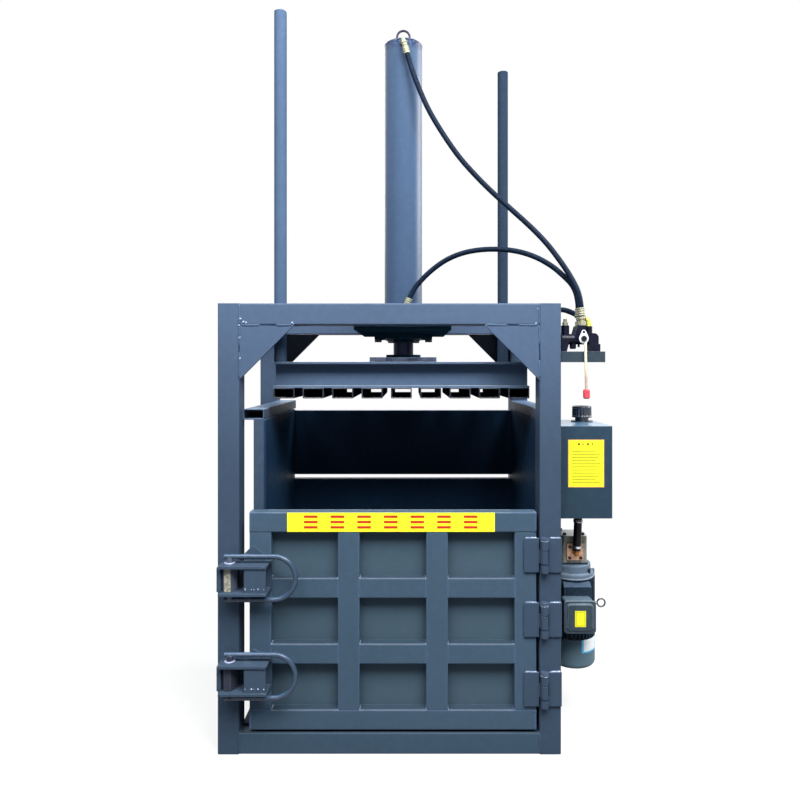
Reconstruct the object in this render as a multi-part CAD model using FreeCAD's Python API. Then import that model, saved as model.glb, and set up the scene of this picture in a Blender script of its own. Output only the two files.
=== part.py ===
import FreeCAD, Part
import math
import os

# Vertical hydraulic baler: a welded frame of square tube round a baling chamber, a hydraulic
# cylinder on top that drives a slotted platen down, a hinged front door with two turning
# latches, and an oil tank, valve, pump and motor on the right-hand side.
# Frame: X to the right, Y away from the front, Z up, millimetres. The origin is the centre of
# the frame's footprint on the floor. "Depth" is a distance behind the frame's front face.

# ---- main frame ----
frame_width = 1265.0
frame_depth = 740.0
frame_height = 1660.0
post_size = 80.0
post_wall = 5.0
tube_corner = 6.0
gusset_leg = 202.0
gusset_thick = 10.0
floor_bearer_pitch = 276.0
floor_thick = 8.0
floor_front = 50.0

# ---- flat rectangular tube used in the walls, the door and the platen ----
flat_wide = 80.0
flat_thin = 40.0
flat_wall = 4.0
flat_corner = 4.0

# ---- baling chamber ----
chamber_top = 1267.0
wall_front = 50.0
wall_plate = 6.0
back_plate = 8.0
back_plate_top = 1220.0
back_slot_low = 898.0
back_slot_high = 920.0
middle_upright_depth = 330.0

# ---- door ----
door_width = 1056.0
door_height = 801.0
door_lift = 10.0
door_rail_high = 74.0
door_skin = 5.0
door_hinge_gap = 11.5
door_cap = 4.0

# ---- door hinges ----
hinge_levels = (735.0, 498.0, 243.0)
hinge_height = 124.0
hinge_knuckle_r = 14.5
hinge_pin_r = 8.0
hinge_pin_head = 5.0
hinge_pin_head_r = 12.5
hinge_offset = 15.0
hinge_leaf_wide = 46.0
hinge_leaf_thick = 8.0
knuckle_lower = 33.0
knuckle_upper = 42.0
knuckle_gap = 1.0
knuckle_strip = 4.0
knuckle_standoff = 0.5
running_fit = 0.08

# ---- door latches ----
latch_levels = (662.0, 307.0)
latch_high = 108.0
latch_deep = 80.0
latch_plate = 10.0
latch_cam_r = 26.0
latch_cam_offset = 60.0
latch_cam_face = 22.0
latch_cam_bevel = 18.0
latch_cam_bevel_turn = 30.0
latch_shaft_r = 11.0
latch_cam_gap = 1.0
latch_keeper_gap = 1.2
latch_cheek_over = 6.0
latch_cheek_bevel = 3.0
latch_face_setback = 4.0
keeper_thick = 16.0
keeper_deep = 62.0
handle_bar_r = 9.0
handle_spread = 156.0
handle_tail = 19.0
handle_straight = 178.0
tab_rises = (56.0, 30.0)
tab_reach = 15.0
tab_over = 4.0

# ---- cylinder and its seat ----
press_x = 48.0
press_depth = 360.0
barrel_r = 79.5
barrel_wall = 8.0
barrel_top = 2785.0
head_thick = 34.0
mount_plate_wide = 372.0
mount_plate_thick = 12.0
flange_r = 122.5
flange_thick = 25.0
flange_bolt_circle_r = 107.0
flange_bolt_count = 6
bolt_head_r = 15.0
bolt_head_high = 12.0
bolt_shank_r = 10.0
gland_r = 56.0
gland_drop = 14.0
gland_depth = 60.0
rod_r = 42.0
piston_high = 70.0
piston_top_gap = 30.0
rod_flange_r = 73.0
rod_flange_thick = 12.0
loop_bar_r = 4.5
loop_r = 26.5
loop_rise = 43.0

# ---- platen ----
platen_underside = 1305.0
platen_side_gap = 20.0
platen_front_gap = 45.0
platen_back_gap = 22.0
channel_high = 100.0
channel_flange = 50.0
channel_web = 6.0
channel_lip = 8.5
foot_count = 9
middle_channel_spread = 130.0
seat_plate_size = 270.0
seat_plate_thick = 20.0
seat_slots = ((-22.0, 3.0), (64.0, 108.0))
seat_slot_low = 5.0
seat_slot_high = 10.0
seat_slot_deep = 30.0

# ---- guide rods ----
guide_r = 24.0
guide_bore_r = 19.0
guide_top = 2798.0
left_guide_x = -425.0
right_guide_x = 509.0
sleeve_wall = 5.5
sleeve_gap = 0.5
sleeve_pad = 10.0
sleeve_pad_wide = 50.0

# ---- hydraulic hoses and fittings ----
hose_r = 10.5
ferrule_r = 13.5
ferrule_long = 46.0
ferrule_tail_r = 10.8
ferrule_tail_long = 14.0
elbow_r = 9.0
elbow_leg = 15.0
elbow_nut_r = 14.0
elbow_nut_high = 7.0
port_boss_r = 13.0
port_boss_out = 11.0
top_port_level = 2763.0
top_port_lean = 16.0
low_port_level = 1650.0
low_port_lean = 25.0

# ---- right-hand side rails, valve bracket and valve ----
side_rail_wide = 50.0
side_rail_thick = 8.0
side_rail_levels = (610.0, 900.0, 1112.0)
side_rail_end = 30.0
bracket_reach = 168.0
bracket_top = 1483.0
bracket_drop = 40.0
bracket_front = 20.0
bracket_deep = 90.0
bracket_thick = 5.0
valve_left = 8.0
valve_long = 130.0
valve_high = 98.0
valve_setback = 8.0
valve_deep = 60.0
spool_r = 20.0
spool_level = 47.0
spool_round = 8.0
foot_high = 28.0
left_foot = (640.5, 668.0)
left_foot_flare = 8.0
right_foot = (745.0, 785.0)
shoulder_inset = 3.0
shoulder_high = 41.0
shoulder_round = 18.0
main_block = (690.0, 737.0)
main_block_tapers = (14.0, 3.0)
main_block_setback = 8.0
main_block_margin = 16.0
feed_port_x = 725.0
back_port_x = 721.0
main_port_depths = (58.0, 87.0)
supply_port_x = 760.0
supply_port_depth = 96.0
supply_tower_r = 14.0
small_port_x = 661.0
small_tower_r = 15.0
drain_x = 690.0
drain_r = 12.0
drain_low = 10.0
drain_round = 5.0
pivot_lug_x = 712.0
pivot_lug_r = 4.0
pivot_lug_low = 17.0
union_hex_r = 15.0
union_high = 22.0
union_neck = 5.0
supply_nut_r = 12.0
plug_hex_r = 11.0
plug_hex_high = 12.0
plug_stem_r = 7.0
plug_stem_high = 25.0
feed_ferrule_lean = 5.0
back_ferrule_lean = 3.0
lever_bore_deep = 10.0

# ---- valve lever ----
lever_x = 718.0
lever_depth = 10.0
lever_plate_thick = 5.0
lever_low_r = 17.7
lever_high_r = 8.5
lever_hole_r = 4.8
lever_hole_rise = 24.0
lever_pin_r = 7.0
lever_pin_clear = 0.5
lever_nut_r = 10.3
lever_nut_high = 7.0
lever_rod_r = 5.0
lever_rod_offset = 6.0
lever_rod_lean = 1.2
lever_rod_long = 187.0
lever_rod_hold = 5.0
knob_r = 12.5
knob_high = 35.0
knob_edge = 4.0

# ---- oil tank ----
tank_wide = 204.0
tank_deep = 300.0
tank_high = 350.0
tank_front = 70.0
tank_base = 851.0
tank_wall = 3.0
tank_corner = 6.0
filler_x = 785.0
filler_depth = 282.0
neck_r = 27.0
neck_wall = 3.0
neck_high = 34.0
neck_flange_r = 44.0
neck_flange_high = 4.0
cap_r = 39.5
cap_rise = 17.0
cap_high = 47.0
cap_edge = 3.0
cap_gap = 0.4

# ---- pump and suction line ----
unit_x = 734.0
unit_depth = 250.0
pump_wide = 105.0
pump_deep = 100.0
pump_base = 644.0
pump_high = 106.0
pump_corner = 16.0
pump_cover = 24.0
pump_groove_high = 3.0
pump_groove_deep = 4.0
port_flange_size = 64.0
port_flange_thick = 9.0
port_flange_level = 688.0
port_flange_corner = 6.0
small_bolt_r = 6.0
small_bolt_high = 6.0
small_bolt_spread = 44.0
cover_bolt_r = 7.0
cover_bolt_high = 9.0
suction_r = 15.5
suction_bore_r = 11.0
suction_depth = 170.0
suction_lean = 7.0
spigot_long = 40.0
spigot_root = 1.5
elbow_rise = 14.0
hose_end_gap = 1.0
clamp_wall = 2.5
clamp_high = 10.0
clamp_low_inset = 8.0
clamp_high_inset = 27.0
clamp_screw_r = 4.0
clamp_screw_long = 16.0
clamp_screw_out = 5.0
outlet_x = 698.0
outlet_level = 705.0

# ---- motor ----
motor_r = 92.0
motor_core_r = 84.0
motor_bore_r = 74.0
fin_count = 36
fin_thick = 3.0
fin_root = 4.0
fin_base = 350.0
fin_top = 583.0
shield_top = 636.0
shield_ring_r = 86.0
shield_ring_high = 22.0
shield_neck_r = 75.0
shield_round = 6.0
shield_lug_r = 6.0
shield_lip_r = 88.0
shield_lip_high = 5.0
shield_lug_out = 88.0
shield_bore_gap = 1.0
shield_bolt_r = 5.0
shield_bolt_high = 16.0
shield_bolt_gap = 0.3
motor_pad_wide = 107.0
motor_pad_top = 575.0
motor_pad_out = 4.0
motor_pad_bevel = 14.0
motor_pad_grooves = 11
motor_pad_groove = 3.0
motor_core_reach = 60.0
cowl_base = 233.0
cowl_wall = 2.0
cowl_round = 18.0
cowl_inner_share = 0.55
cowl_slot_count = 12
cowl_slot_start = 26.0
cowl_slot_long = 42.0
cowl_slot_wide = 7.0
rotor_r = 68.0
rotor_high = 150.0
shaft_r = 14.0
fan_r = 80.0
fan_blade_count = 6
fan_blade_high = 34.0
fan_sheet = 4.0
fan_hub_wall = 8.0
fan_rise = 30.0
shaft_clear = 6.0
terminal_wide = 122.0
terminal_high = 124.0
terminal_front = 84.0
terminal_x = 726.0
terminal_base = 407.0
terminal_corner = 14.0
terminal_lid = 10.0
terminal_lip = 4.0
terminal_panel_inset = 10.0
terminal_panel_proud = 4.0
terminal_bevel_share = 0.9
eye_x = 855.0
eye_level = 465.0
eye_r = 16.0
eye_bar_r = 3.0
eye_bevel_share = 0.58
eye_stem_r = 5.0
unit_plate_thick = 8.0
unit_plate_reach = 88.0
unit_plate_hole_r = 28.0

# ---- places worked out from the sizes above ----
front_y = -frame_depth / 2
post_inner = frame_width / 2 - post_size
beam_low = frame_height - post_size
back_beam = frame_depth - post_size
left_wall_outer = -post_inner
left_wall_inner = left_wall_outer + flat_wide
chamber_left = left_wall_inner + wall_plate
chamber_right = post_inner
floor_top = post_size + floor_thick
back_face = back_beam - back_plate
wall_top = chamber_top - flat_thin
door_right = post_inner - door_hinge_gap
door_left = door_right - door_width
door_low = post_size + door_lift
door_high = door_low + door_height
door_back = flat_thin + door_skin
hinge_x = post_inner + hinge_offset
hinge_out = hinge_knuckle_r + knuckle_standoff
cam_x = door_left - latch_cam_offset
frame_side = frame_width / 2
platen_left = chamber_left + platen_side_gap
platen_right = chamber_right - platen_side_gap
platen_front = door_back + platen_front_gap
platen_back = back_face - platen_back_gap
foot_top = platen_underside + flat_thin
platen_top = foot_top + channel_high
seat_top = platen_top + seat_plate_thick
rod_foot = seat_top + rod_flange_thick
plate_under = beam_low - mount_plate_thick
flange_under = plate_under - flange_thick
sleeve_r = guide_r + sleeve_gap + sleeve_wall
left_guide_depth = post_size + sleeve_pad + sleeve_r
right_guide_depth = back_beam - sleeve_pad - sleeve_r
head_under = barrel_top - head_thick
piston_top = head_under - piston_top_gap
rail_outer = frame_side + side_rail_thick
valve_top = bracket_top + valve_high
spool_z = bracket_top + spool_level
foot_top_z = bracket_top + foot_high
valve_front = bracket_front + valve_setback
valve_mid = valve_front + valve_deep / 2
tank_left = rail_outer
tank_top = tank_base + tank_high
pump_top = pump_base + pump_high
pump_front = unit_depth - pump_deep / 2
pad_front = unit_depth - motor_r - motor_pad_out
hose_port_depth = press_depth - barrel_r - port_boss_out - elbow_leg


def spot(x, depth, z):
    """A point from its place across the machine, its depth behind the front and its height."""
    return FreeCAD.Vector(x, front_y + depth, z)


def block(x0, x1, d0, d1, z0, z1):
    """A plain rectangular block between two limits on each axis."""
    return Part.makeBox(x1 - x0, d1 - d0, z1 - z0, spot(x0, d0, z0))


def runs_along(edge, axis):
    """True where a straight edge is parallel to the axis."""
    step = edge.Vertexes[-1].Point - edge.Vertexes[0].Point
    return step.Length > 1e-6 and abs(abs(step.normalize().dot(axis)) - 1.0) < 1e-6


def lies_level(edge, level):
    """True where an edge is a full circle at the height."""
    return len(edge.Vertexes) == 1 and abs(edge.Vertexes[0].Point.z - level) < 0.01


def bar(x0, x1, d0, d1, z0, z1, axis, corner):
    """A block whose four edges along one axis are rounded."""
    shape = block(x0, x1, d0, d1, z0, z1)
    edges = [edge for edge in shape.Edges if runs_along(edge, axis)]
    return shape.makeFillet(corner, edges)


along_x = FreeCAD.Vector(1, 0, 0)
along_y = FreeCAD.Vector(0, 1, 0)
along_z = FreeCAD.Vector(0, 0, 1)


def tube(x0, x1, d0, d1, z0, z1, axis, wall, corner, closed_end=0.0):
    """Rectangular tube, open at both ends, or closed at its far end by a plate."""
    outer = bar(x0, x1, d0, d1, z0, z1, axis, corner)
    inset = FreeCAD.Vector(wall, wall, wall) - axis * wall
    low = spot(x0, d0, z0) + inset
    high = spot(x1, d1, z1) - inset - axis * closed_end
    size = high - low
    return outer.cut(Part.makeBox(size.x, size.y, size.z, low))


def square_tube(x0, x1, d0, d1, z0, z1, axis, closed_end=0.0):
    """Heavy tube of the frame."""
    return tube(x0, x1, d0, d1, z0, z1, axis, post_wall, tube_corner, closed_end)


def flat_tube(x0, x1, d0, d1, z0, z1, axis):
    """Light tube of the walls, the door and the platen."""
    return tube(x0, x1, d0, d1, z0, z1, axis, flat_wall, flat_corner)


def rod(radius, start, end):
    """Round bar from one point to another."""
    step = end - start
    return Part.makeCylinder(radius, step.Length, start, step)


def ring(outer_r, inner_r, height, base, axis=along_z):
    """Round collar with a bore."""
    outer = Part.makeCylinder(outer_r, height, base, axis)
    return outer.cut(Part.makeCylinder(inner_r, height, base, axis))


def prism(points, step):
    """A flat outline pushed along a vector."""
    return Part.Face(Part.makePolygon(points + [points[0]])).extrude(step)


def hexagon(radius, height, base, axis=along_z):
    """Hexagonal nut or bolt head standing on base, with corners at the radius."""
    across = along_y.cross(axis)
    across = across.normalize() if across.Length > 0.1 else along_x
    upward = axis.cross(across)
    turn = math.pi / 3
    corners = []
    for step in range(6):
        out = across * math.cos(step * turn) + upward * math.sin(step * turn)
        corners.append(base + out * radius)
    return prism(corners, axis * height)


def leaning(degrees, up=1.0):
    """Unit vector that leans from the vertical towards +X."""
    lean = math.radians(degrees)
    return FreeCAD.Vector(math.sin(lean), 0, up * math.cos(lean))


def bent_bar(points, radius):
    """Round bar along straight legs that are joined by one half-circle bend."""
    leg_a, bend_a, middle, bend_b, leg_b = points
    first = Part.LineSegment(leg_a, bend_a).toShape()
    bend = Part.Arc(bend_a, middle, bend_b).toShape()
    last = Part.LineSegment(bend_b, leg_b).toShape()
    section = Part.Wire(Part.makeCircle(radius, leg_a, bend_a - leg_a))
    return Part.Wire([first, bend, last]).makePipeShell([section], True, False)


# ---- the frame ----
def frame_posts():
    """Four corner posts, closed by a plate at the top."""
    posts = []
    for x in (-frame_side, post_inner):
        for depth in (0, back_beam):
            posts.append(square_tube(x, x + post_size, depth, depth + post_size, 0, frame_height,
                                     along_z, post_wall))
    return posts


def top_beams():
    """Front, back and side beams between the posts, and two bearers beside the cylinder."""
    beams = []
    for depth in (0, back_beam):
        beams.append(square_tube(-post_inner, post_inner, depth, depth + post_size,
                                 beam_low, frame_height, along_x))
    half = mount_plate_wide / 2
    for x in (-frame_side, post_inner, press_x - half, press_x + half - post_size):
        beams.append(square_tube(x, x + post_size, post_size, back_beam,
                                 beam_low, frame_height, along_y))
    return beams


def base_beams():
    """Front and back beams at the floor, the right side beam and the bearers of the floor."""
    beams = []
    for depth in (0, back_beam):
        beams.append(square_tube(-post_inner, post_inner, depth, depth + post_size,
                                 0, post_size, along_x))
    pitch = floor_bearer_pitch
    half = post_size / 2
    for x in (-post_inner, -pitch - half, -half, pitch - half, post_inner):
        beams.append(square_tube(x, x + post_size, post_size, back_beam, 0, post_size, along_y))
    return beams


def corner_gussets():
    """Triangular plates in the upper corners of the front and back of the frame."""
    plates = []
    for side in (-1, 1):
        for depth in (0, back_beam):
            corner = spot(side * post_inner, depth, beam_low)
            along = spot(side * (post_inner - gusset_leg), depth, beam_low)
            down = spot(side * post_inner, depth, beam_low - gusset_leg)
            plates.append(prism([corner, along, down], along_y * gusset_thick))
    return plates


def floor_plate():
    """Floor of the chamber, laid over the base beams."""
    return block(-post_inner, post_inner, floor_front, back_beam, post_size, floor_top)


def wall_tubes():
    """Top rails and uprights of both side walls, and the rails behind the back wall."""
    left, right = left_wall_outer, chamber_right
    pieces = [flat_tube(left, left_wall_inner, wall_front, back_beam + wall_front,
                        wall_top, chamber_top, along_y)]
    inner = left_wall_inner - flat_thin
    for depth in (wall_front, middle_upright_depth, back_beam - flat_wide):
        pieces.append(flat_tube(inner, left_wall_inner, depth, depth + flat_wide,
                                floor_top, wall_top, along_z))
    pieces.append(flat_tube(right, right + flat_wide, post_size, back_beam,
                            wall_top, chamber_top, along_y))
    outer = right + wall_plate
    pieces.append(flat_tube(outer, outer + flat_thin, middle_upright_depth,
                            middle_upright_depth + flat_wide, post_size, wall_top, along_z))
    for top in (back_plate_top, back_slot_high + flat_wide, back_slot_low):
        pieces.append(flat_tube(-post_inner, post_inner, back_beam, back_beam + flat_thin,
                                top - flat_wide, top, along_x))
    return pieces


def wall_plates():
    """Steel sheets that line the left and right of the chamber."""
    left = block(left_wall_inner, chamber_left, wall_front, back_face, floor_top, wall_top)
    right = block(chamber_right, chamber_right + wall_plate, post_size, back_beam,
                  post_size, wall_top)
    return [left, right]


def back_panels():
    """Upper and lower sheets of the back wall, with the strapping slot between them."""
    lower = block(left_wall_inner, chamber_right, back_face, back_beam, floor_top, back_slot_low)
    upper = block(left_wall_inner, chamber_right, back_face, back_beam,
                  back_slot_high, back_plate_top)
    return [lower, upper]


# ---- hinges ----
def knuckle_spans(level):
    """Heights of the lower, middle and upper knuckle of a hinge."""
    low = level - hinge_height / 2
    high = level + hinge_height / 2
    lower_top = low + knuckle_lower
    upper_base = high - knuckle_upper
    middle = (lower_top + knuckle_gap, upper_base - knuckle_gap)
    return (low, lower_top), middle, (upper_base, high)


def knuckle(low, high, toward, bore_r):
    """One knuckle with the strip that joins it to its leaf on the side named by toward."""
    centre = spot(hinge_x, -hinge_out, low)
    barrel = Part.makeCylinder(hinge_knuckle_r, high - low, centre)
    reach = hinge_knuckle_r + knuckle_strip
    x0, x1 = sorted((hinge_x, hinge_x + toward * reach))
    strip = block(x0, x1, -hinge_leaf_thick, 0, low, high)
    bore = Part.makeCylinder(bore_r, high - low, centre)
    return barrel.fuse(strip).cut(bore)


def hinge_frame_leaves():
    """The half of each hinge that is welded to the right post: a leaf and two knuckles."""
    halves = []
    leaf_start = hinge_x + hinge_knuckle_r + knuckle_strip
    for level in hinge_levels:
        lower, middle, upper = knuckle_spans(level)
        leaf = block(leaf_start, frame_side, -hinge_leaf_thick, 0, lower[0], upper[1])
        parts = [knuckle(*lower, 1, hinge_pin_r), knuckle(*upper, 1, hinge_pin_r)]
        halves.append(leaf.multiFuse(parts).removeSplitter())
    return halves


def door_hinge_leaves():
    """The half of each hinge that is welded to the door: a leaf and the middle knuckle."""
    halves = []
    for level in hinge_levels:
        lower, middle, upper = knuckle_spans(level)
        leaf_end = hinge_x - hinge_knuckle_r - knuckle_strip
        leaf = block(door_right - hinge_leaf_wide, leaf_end, -hinge_leaf_thick, 0,
                     lower[0], upper[1])
        turning = knuckle(*middle, -1, hinge_pin_r + running_fit)
        halves.append(leaf.fuse(turning).removeSplitter())
    return halves


def hinge_pins():
    """Round pins through the knuckles, each with a flat head on top."""
    pins = []
    for level in hinge_levels:
        low = level - hinge_height / 2
        centre = spot(hinge_x, -hinge_out, low)
        pin = Part.makeCylinder(hinge_pin_r, hinge_height, centre)
        head_base = centre + along_z * hinge_height
        head = Part.makeCylinder(hinge_pin_head_r, hinge_pin_head, head_base)
        pins.append(pin.fuse(head).removeSplitter())
    return pins


# ---- door ----
def door_frame_tubes():
    """Rails and stiles of the door, which leave nine recesses in its face."""
    pieces = []
    opening = (door_height - 4 * door_rail_high) / 3
    levels = [door_low + row * (door_rail_high + opening) for row in range(4)]
    bay = (door_width - 4 * flat_wide) / 3
    stiles = [door_left + column * (flat_wide + bay) for column in range(4)]
    for level in (levels[0], levels[3]):
        pieces.append(flat_tube(door_left + door_cap, door_right - door_cap, 0, flat_thin,
                                level, level + door_rail_high, along_x))
    for x in stiles:
        pieces.append(flat_tube(x, x + flat_wide, 0, flat_thin,
                                levels[0] + door_rail_high, levels[3], along_z))
    for level in (levels[1], levels[2]):
        for x in stiles[:3]:
            pieces.append(flat_tube(x + flat_wide, x + flat_wide + bay, 0, flat_thin,
                                    level, level + door_rail_high, along_x))
    return pieces


def door_end_caps():
    """Small plates that close the ends of the top and bottom rails."""
    caps = []
    for x in (door_left, door_right - door_cap):
        for level in (door_low, door_high - door_rail_high):
            caps.append(bar(x, x + door_cap, 0, flat_thin, level, level + door_rail_high,
                            along_x, flat_corner))
    return caps


def door_sheet():
    """Sheet behind the door's tubes, which faces the chamber."""
    return block(door_left, door_right, flat_thin, door_back, door_low, door_high)


# ---- latches ----
def latch_housing(level, tab_rise):
    """Welded box on the door's left edge: base plate, top and bottom cheeks and a face plate."""
    low = level - latch_high / 2
    high = level + latch_high / 2
    face_right = door_left + flat_wide
    face_left = door_left
    cheek_left = cam_x - latch_cam_r - latch_cheek_over
    bore = rod(latch_shaft_r + running_fit, spot(cam_x, -latch_deep / 2, low - 1),
               spot(cam_x, -latch_deep / 2, high + 1))
    cheeks = []
    bevel = latch_cheek_bevel
    for base in (low, high - latch_plate):
        plan = [spot(cheek_left, -latch_plate, base), spot(cheek_left, -latch_deep, base),
                spot(face_right - bevel, -latch_deep, base),
                spot(face_right, bevel - latch_deep, base), spot(face_right, -latch_plate, base)]
        cheeks.append(prism(plan, along_z * latch_plate).cut(bore))
    face_front = latch_face_setback - latch_deep
    face = block(face_left, face_right - bevel, face_front, face_front + latch_plate,
                 low + latch_plate, high - latch_plate)
    tab_left = door_left - tab_reach
    tab_right = face_right + tab_over
    outline = [spot(tab_left, 0, low), spot(tab_right, 0, low),
               spot(tab_right, 0, high), spot(door_left + tab_reach, 0, high + tab_rise),
               spot(tab_left, 0, high + tab_rise - 2 * tab_reach)]
    base_plate = prism(outline, along_y * -latch_plate)
    return [base_plate, cheeks[0], cheeks[1], face]


def latch_housings():
    """Both latch housings, one above the other."""
    pieces = []
    for level, rise in zip(latch_levels, tab_rises):
        pieces.extend(latch_housing(level, rise))
    return pieces


def latch_cam(level):
    """Turned cam drum between the cheeks, with a flat face, a bevel and two shaft ends."""
    half = latch_high / 2 - latch_plate - latch_cam_gap
    centre = spot(cam_x, -latch_deep / 2, level)
    drum = rod(latch_cam_r, centre - along_z * half, centre + along_z * half)
    side = 2 * latch_cam_r
    flat = Part.makeBox(2 * side, side, 2 * half,
                        centre - FreeCAD.Vector(side, side + latch_cam_face, half))
    bevel = Part.makeBox(side, 2 * side, 2 * half,
                         centre + FreeCAD.Vector(latch_cam_bevel, -side, -half))
    bevel.rotate(centre, along_z, -latch_cam_bevel_turn)
    reach = handle_spread / 2
    shaft = rod(latch_shaft_r, centre - along_z * reach, centre + along_z * reach)
    return drum.cut(flat).cut(bevel).fuse(shaft).cut(latch_handle(level)).removeSplitter()


def latch_handle(level):
    """U-shaped handle of round bar, whose legs end over the two ends of the cam's shaft."""
    depth = -latch_deep / 2
    half = handle_spread / 2
    start_x = cam_x - handle_tail
    bend_x = start_x + handle_straight
    points = [spot(start_x, depth, level + half), spot(bend_x, depth, level + half),
              spot(bend_x + half, depth, level), spot(bend_x, depth, level - half),
              spot(start_x, depth, level - half)]
    return bent_bar(points, handle_bar_r)


def keeper_plates():
    """Plates on the left post that the cams turn behind."""
    plates = []
    right = cam_x - latch_cam_r - latch_keeper_gap
    half = latch_high / 2 - latch_plate - latch_keeper_gap
    for level in latch_levels:
        plate = block(right - keeper_thick, right, -keeper_deep, 0, level - half, level + half)
        edges = [edge for edge in plate.Edges if runs_along(edge, along_z)]
        front = [edge for edge in edges if edge.Vertexes[0].Point.y < front_y - 1.0]
        plates.append(plate.makeFillet(keeper_thick / 3, front))
    return plates


# ---- cylinder ----
def cylinder_mount_plate():
    """Plate under the two bearers, with a hole that the barrel passes through."""
    left = press_x - mount_plate_wide / 2
    plate = block(left, left + mount_plate_wide, post_size, back_beam, plate_under, beam_low)
    hole = Part.makeCylinder(barrel_r, mount_plate_thick, spot(press_x, press_depth, plate_under))
    return plate.cut(hole)


def port_boss(level):
    """Round boss that stands out of the front of the barrel round a port."""
    start = spot(press_x, press_depth - barrel_r - port_boss_out, level)
    return Part.makeCylinder(port_boss_r, port_boss_out + barrel_wall, start, along_y)


def cylinder_barrel():
    """Steel barrel from the flange's underside to the head, with its two port bosses."""
    base = spot(press_x, press_depth, flange_under)
    high = barrel_top - flange_under
    outer = Part.makeCylinder(barrel_r, high, base)
    bosses = [port_boss(top_port_level), port_boss(low_port_level)]
    return outer.multiFuse(bosses).cut(Part.makeCylinder(barrel_r - barrel_wall, high, base))


def cylinder_head():
    """Round plug that closes the top of the barrel."""
    return Part.makeCylinder(barrel_r - barrel_wall, head_thick,
                             spot(press_x, press_depth, head_under))


def lifting_loop():
    """Bent bar welded on the head for lifting the machine."""
    bend_z = barrel_top + loop_rise
    points = [spot(press_x - loop_r, press_depth, barrel_top),
              spot(press_x - loop_r, press_depth, bend_z),
              spot(press_x, press_depth, bend_z + loop_r),
              spot(press_x + loop_r, press_depth, bend_z),
              spot(press_x + loop_r, press_depth, barrel_top)]
    return bent_bar(points, loop_bar_r)


def bolt_places():
    """Centres of the flange bolts at the underside of the flange."""
    places = []
    for step in range(flange_bolt_count):
        turn = 2 * math.pi * step / flange_bolt_count
        places.append(spot(press_x + flange_bolt_circle_r * math.cos(turn),
                           press_depth + flange_bolt_circle_r * math.sin(turn), flange_under))
    return places


def cylinder_flange():
    """Round flange on the foot of the barrel, bolted up against the mount plate."""
    shape = ring(flange_r, barrel_r, flange_thick, spot(press_x, press_depth, flange_under))
    for place in bolt_places():
        shape = shape.cut(Part.makeCylinder(bolt_shank_r, flange_thick, place))
    return shape


def flange_bolts():
    """Hexagon bolts that hold the flange up to the mount plate."""
    bolts = []
    for place in bolt_places():
        head = hexagon(bolt_head_r, bolt_head_high, place - along_z * bolt_head_high)
        shank = Part.makeCylinder(bolt_shank_r, flange_thick, place)
        bolts.append(head.fuse(shank).removeSplitter())
    return bolts


def rod_gland():
    """Guide bush in the mouth of the barrel, which the piston rod slides through."""
    bore_r = rod_r + running_fit
    inside = ring(barrel_r - barrel_wall, bore_r, gland_depth,
                  spot(press_x, press_depth, flange_under))
    lip = ring(gland_r, bore_r, gland_drop,
               spot(press_x, press_depth, flange_under - gland_drop))
    return inside.fuse(lip).removeSplitter()


def piston():
    """Piston on the upper end of the rod."""
    return Part.makeCylinder(barrel_r - barrel_wall - running_fit, piston_high,
                             spot(press_x, press_depth, piston_top - piston_high))


def piston_rod():
    """Plated rod from the piston down to its flange."""
    return rod(rod_r, spot(press_x, press_depth, rod_foot),
               spot(press_x, press_depth, piston_top - piston_high))


def rod_flange():
    """Round flange that ties the rod to the seat plate of the platen."""
    return Part.makeCylinder(rod_flange_r, rod_flange_thick,
                             spot(press_x, press_depth, seat_top))


# ---- platen ----
def channel(depth, toward, left, right):
    """Channel across the platen whose flanges point forward or back from its web."""
    outline = []
    for out, level in ((0, 0), (channel_flange, 0), (channel_flange, channel_lip),
                       (channel_web, channel_lip), (channel_web, channel_high - channel_lip),
                       (channel_flange, channel_high - channel_lip),
                       (channel_flange, channel_high), (0, channel_high)):
        outline.append(spot(left, depth + toward * out, foot_top + level))
    return prism(outline, along_x * (right - left))


def platen_channels():
    """Front and back channels of the platen and two under the cylinder's seat plate."""
    middle = press_depth
    gap = middle_channel_spread / 2
    return [channel(platen_front + channel_flange, -1, platen_left, platen_right),
            channel(platen_back - channel_flange, 1, platen_left, platen_right),
            channel(middle - gap, 1, platen_left, platen_right),
            channel(middle + gap, -1, platen_left, platen_right)]


def platen_feet():
    """Open-ended tubes under the platen, spaced so that straps pass between them."""
    feet = []
    pitch = (platen_right - platen_left - flat_wide) / (foot_count - 1)
    for step in range(foot_count):
        x = platen_left + step * pitch
        feet.append(flat_tube(x, x + flat_wide, platen_front, platen_back,
                              platen_underside, foot_top, along_y))
    return feet


def seat_plate():
    """Square plate on the platen that the rod's flange is fixed to, with two slots in front."""
    half = seat_plate_size / 2
    front = press_depth - half
    plate = block(press_x - half, press_x + half, front, press_depth + half, platen_top, seat_top)
    low = platen_top + seat_slot_low
    slots = [block(left, right, front, front + seat_slot_deep, low, low + seat_slot_high)
             for left, right in seat_slots]
    return plate.cut(slots)


def guide_places():
    """Across and depth of the two guide rods."""
    return ((left_guide_x, left_guide_depth), (right_guide_x, right_guide_depth))


def guide_rods():
    """Pipes that stand on the platen and slide in sleeves on the top frame."""
    rods = []
    for x, depth in guide_places():
        pipe = ring(guide_r, guide_bore_r, guide_top - platen_top, spot(x, depth, platen_top))
        rods.append(pipe)
    return rods


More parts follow.
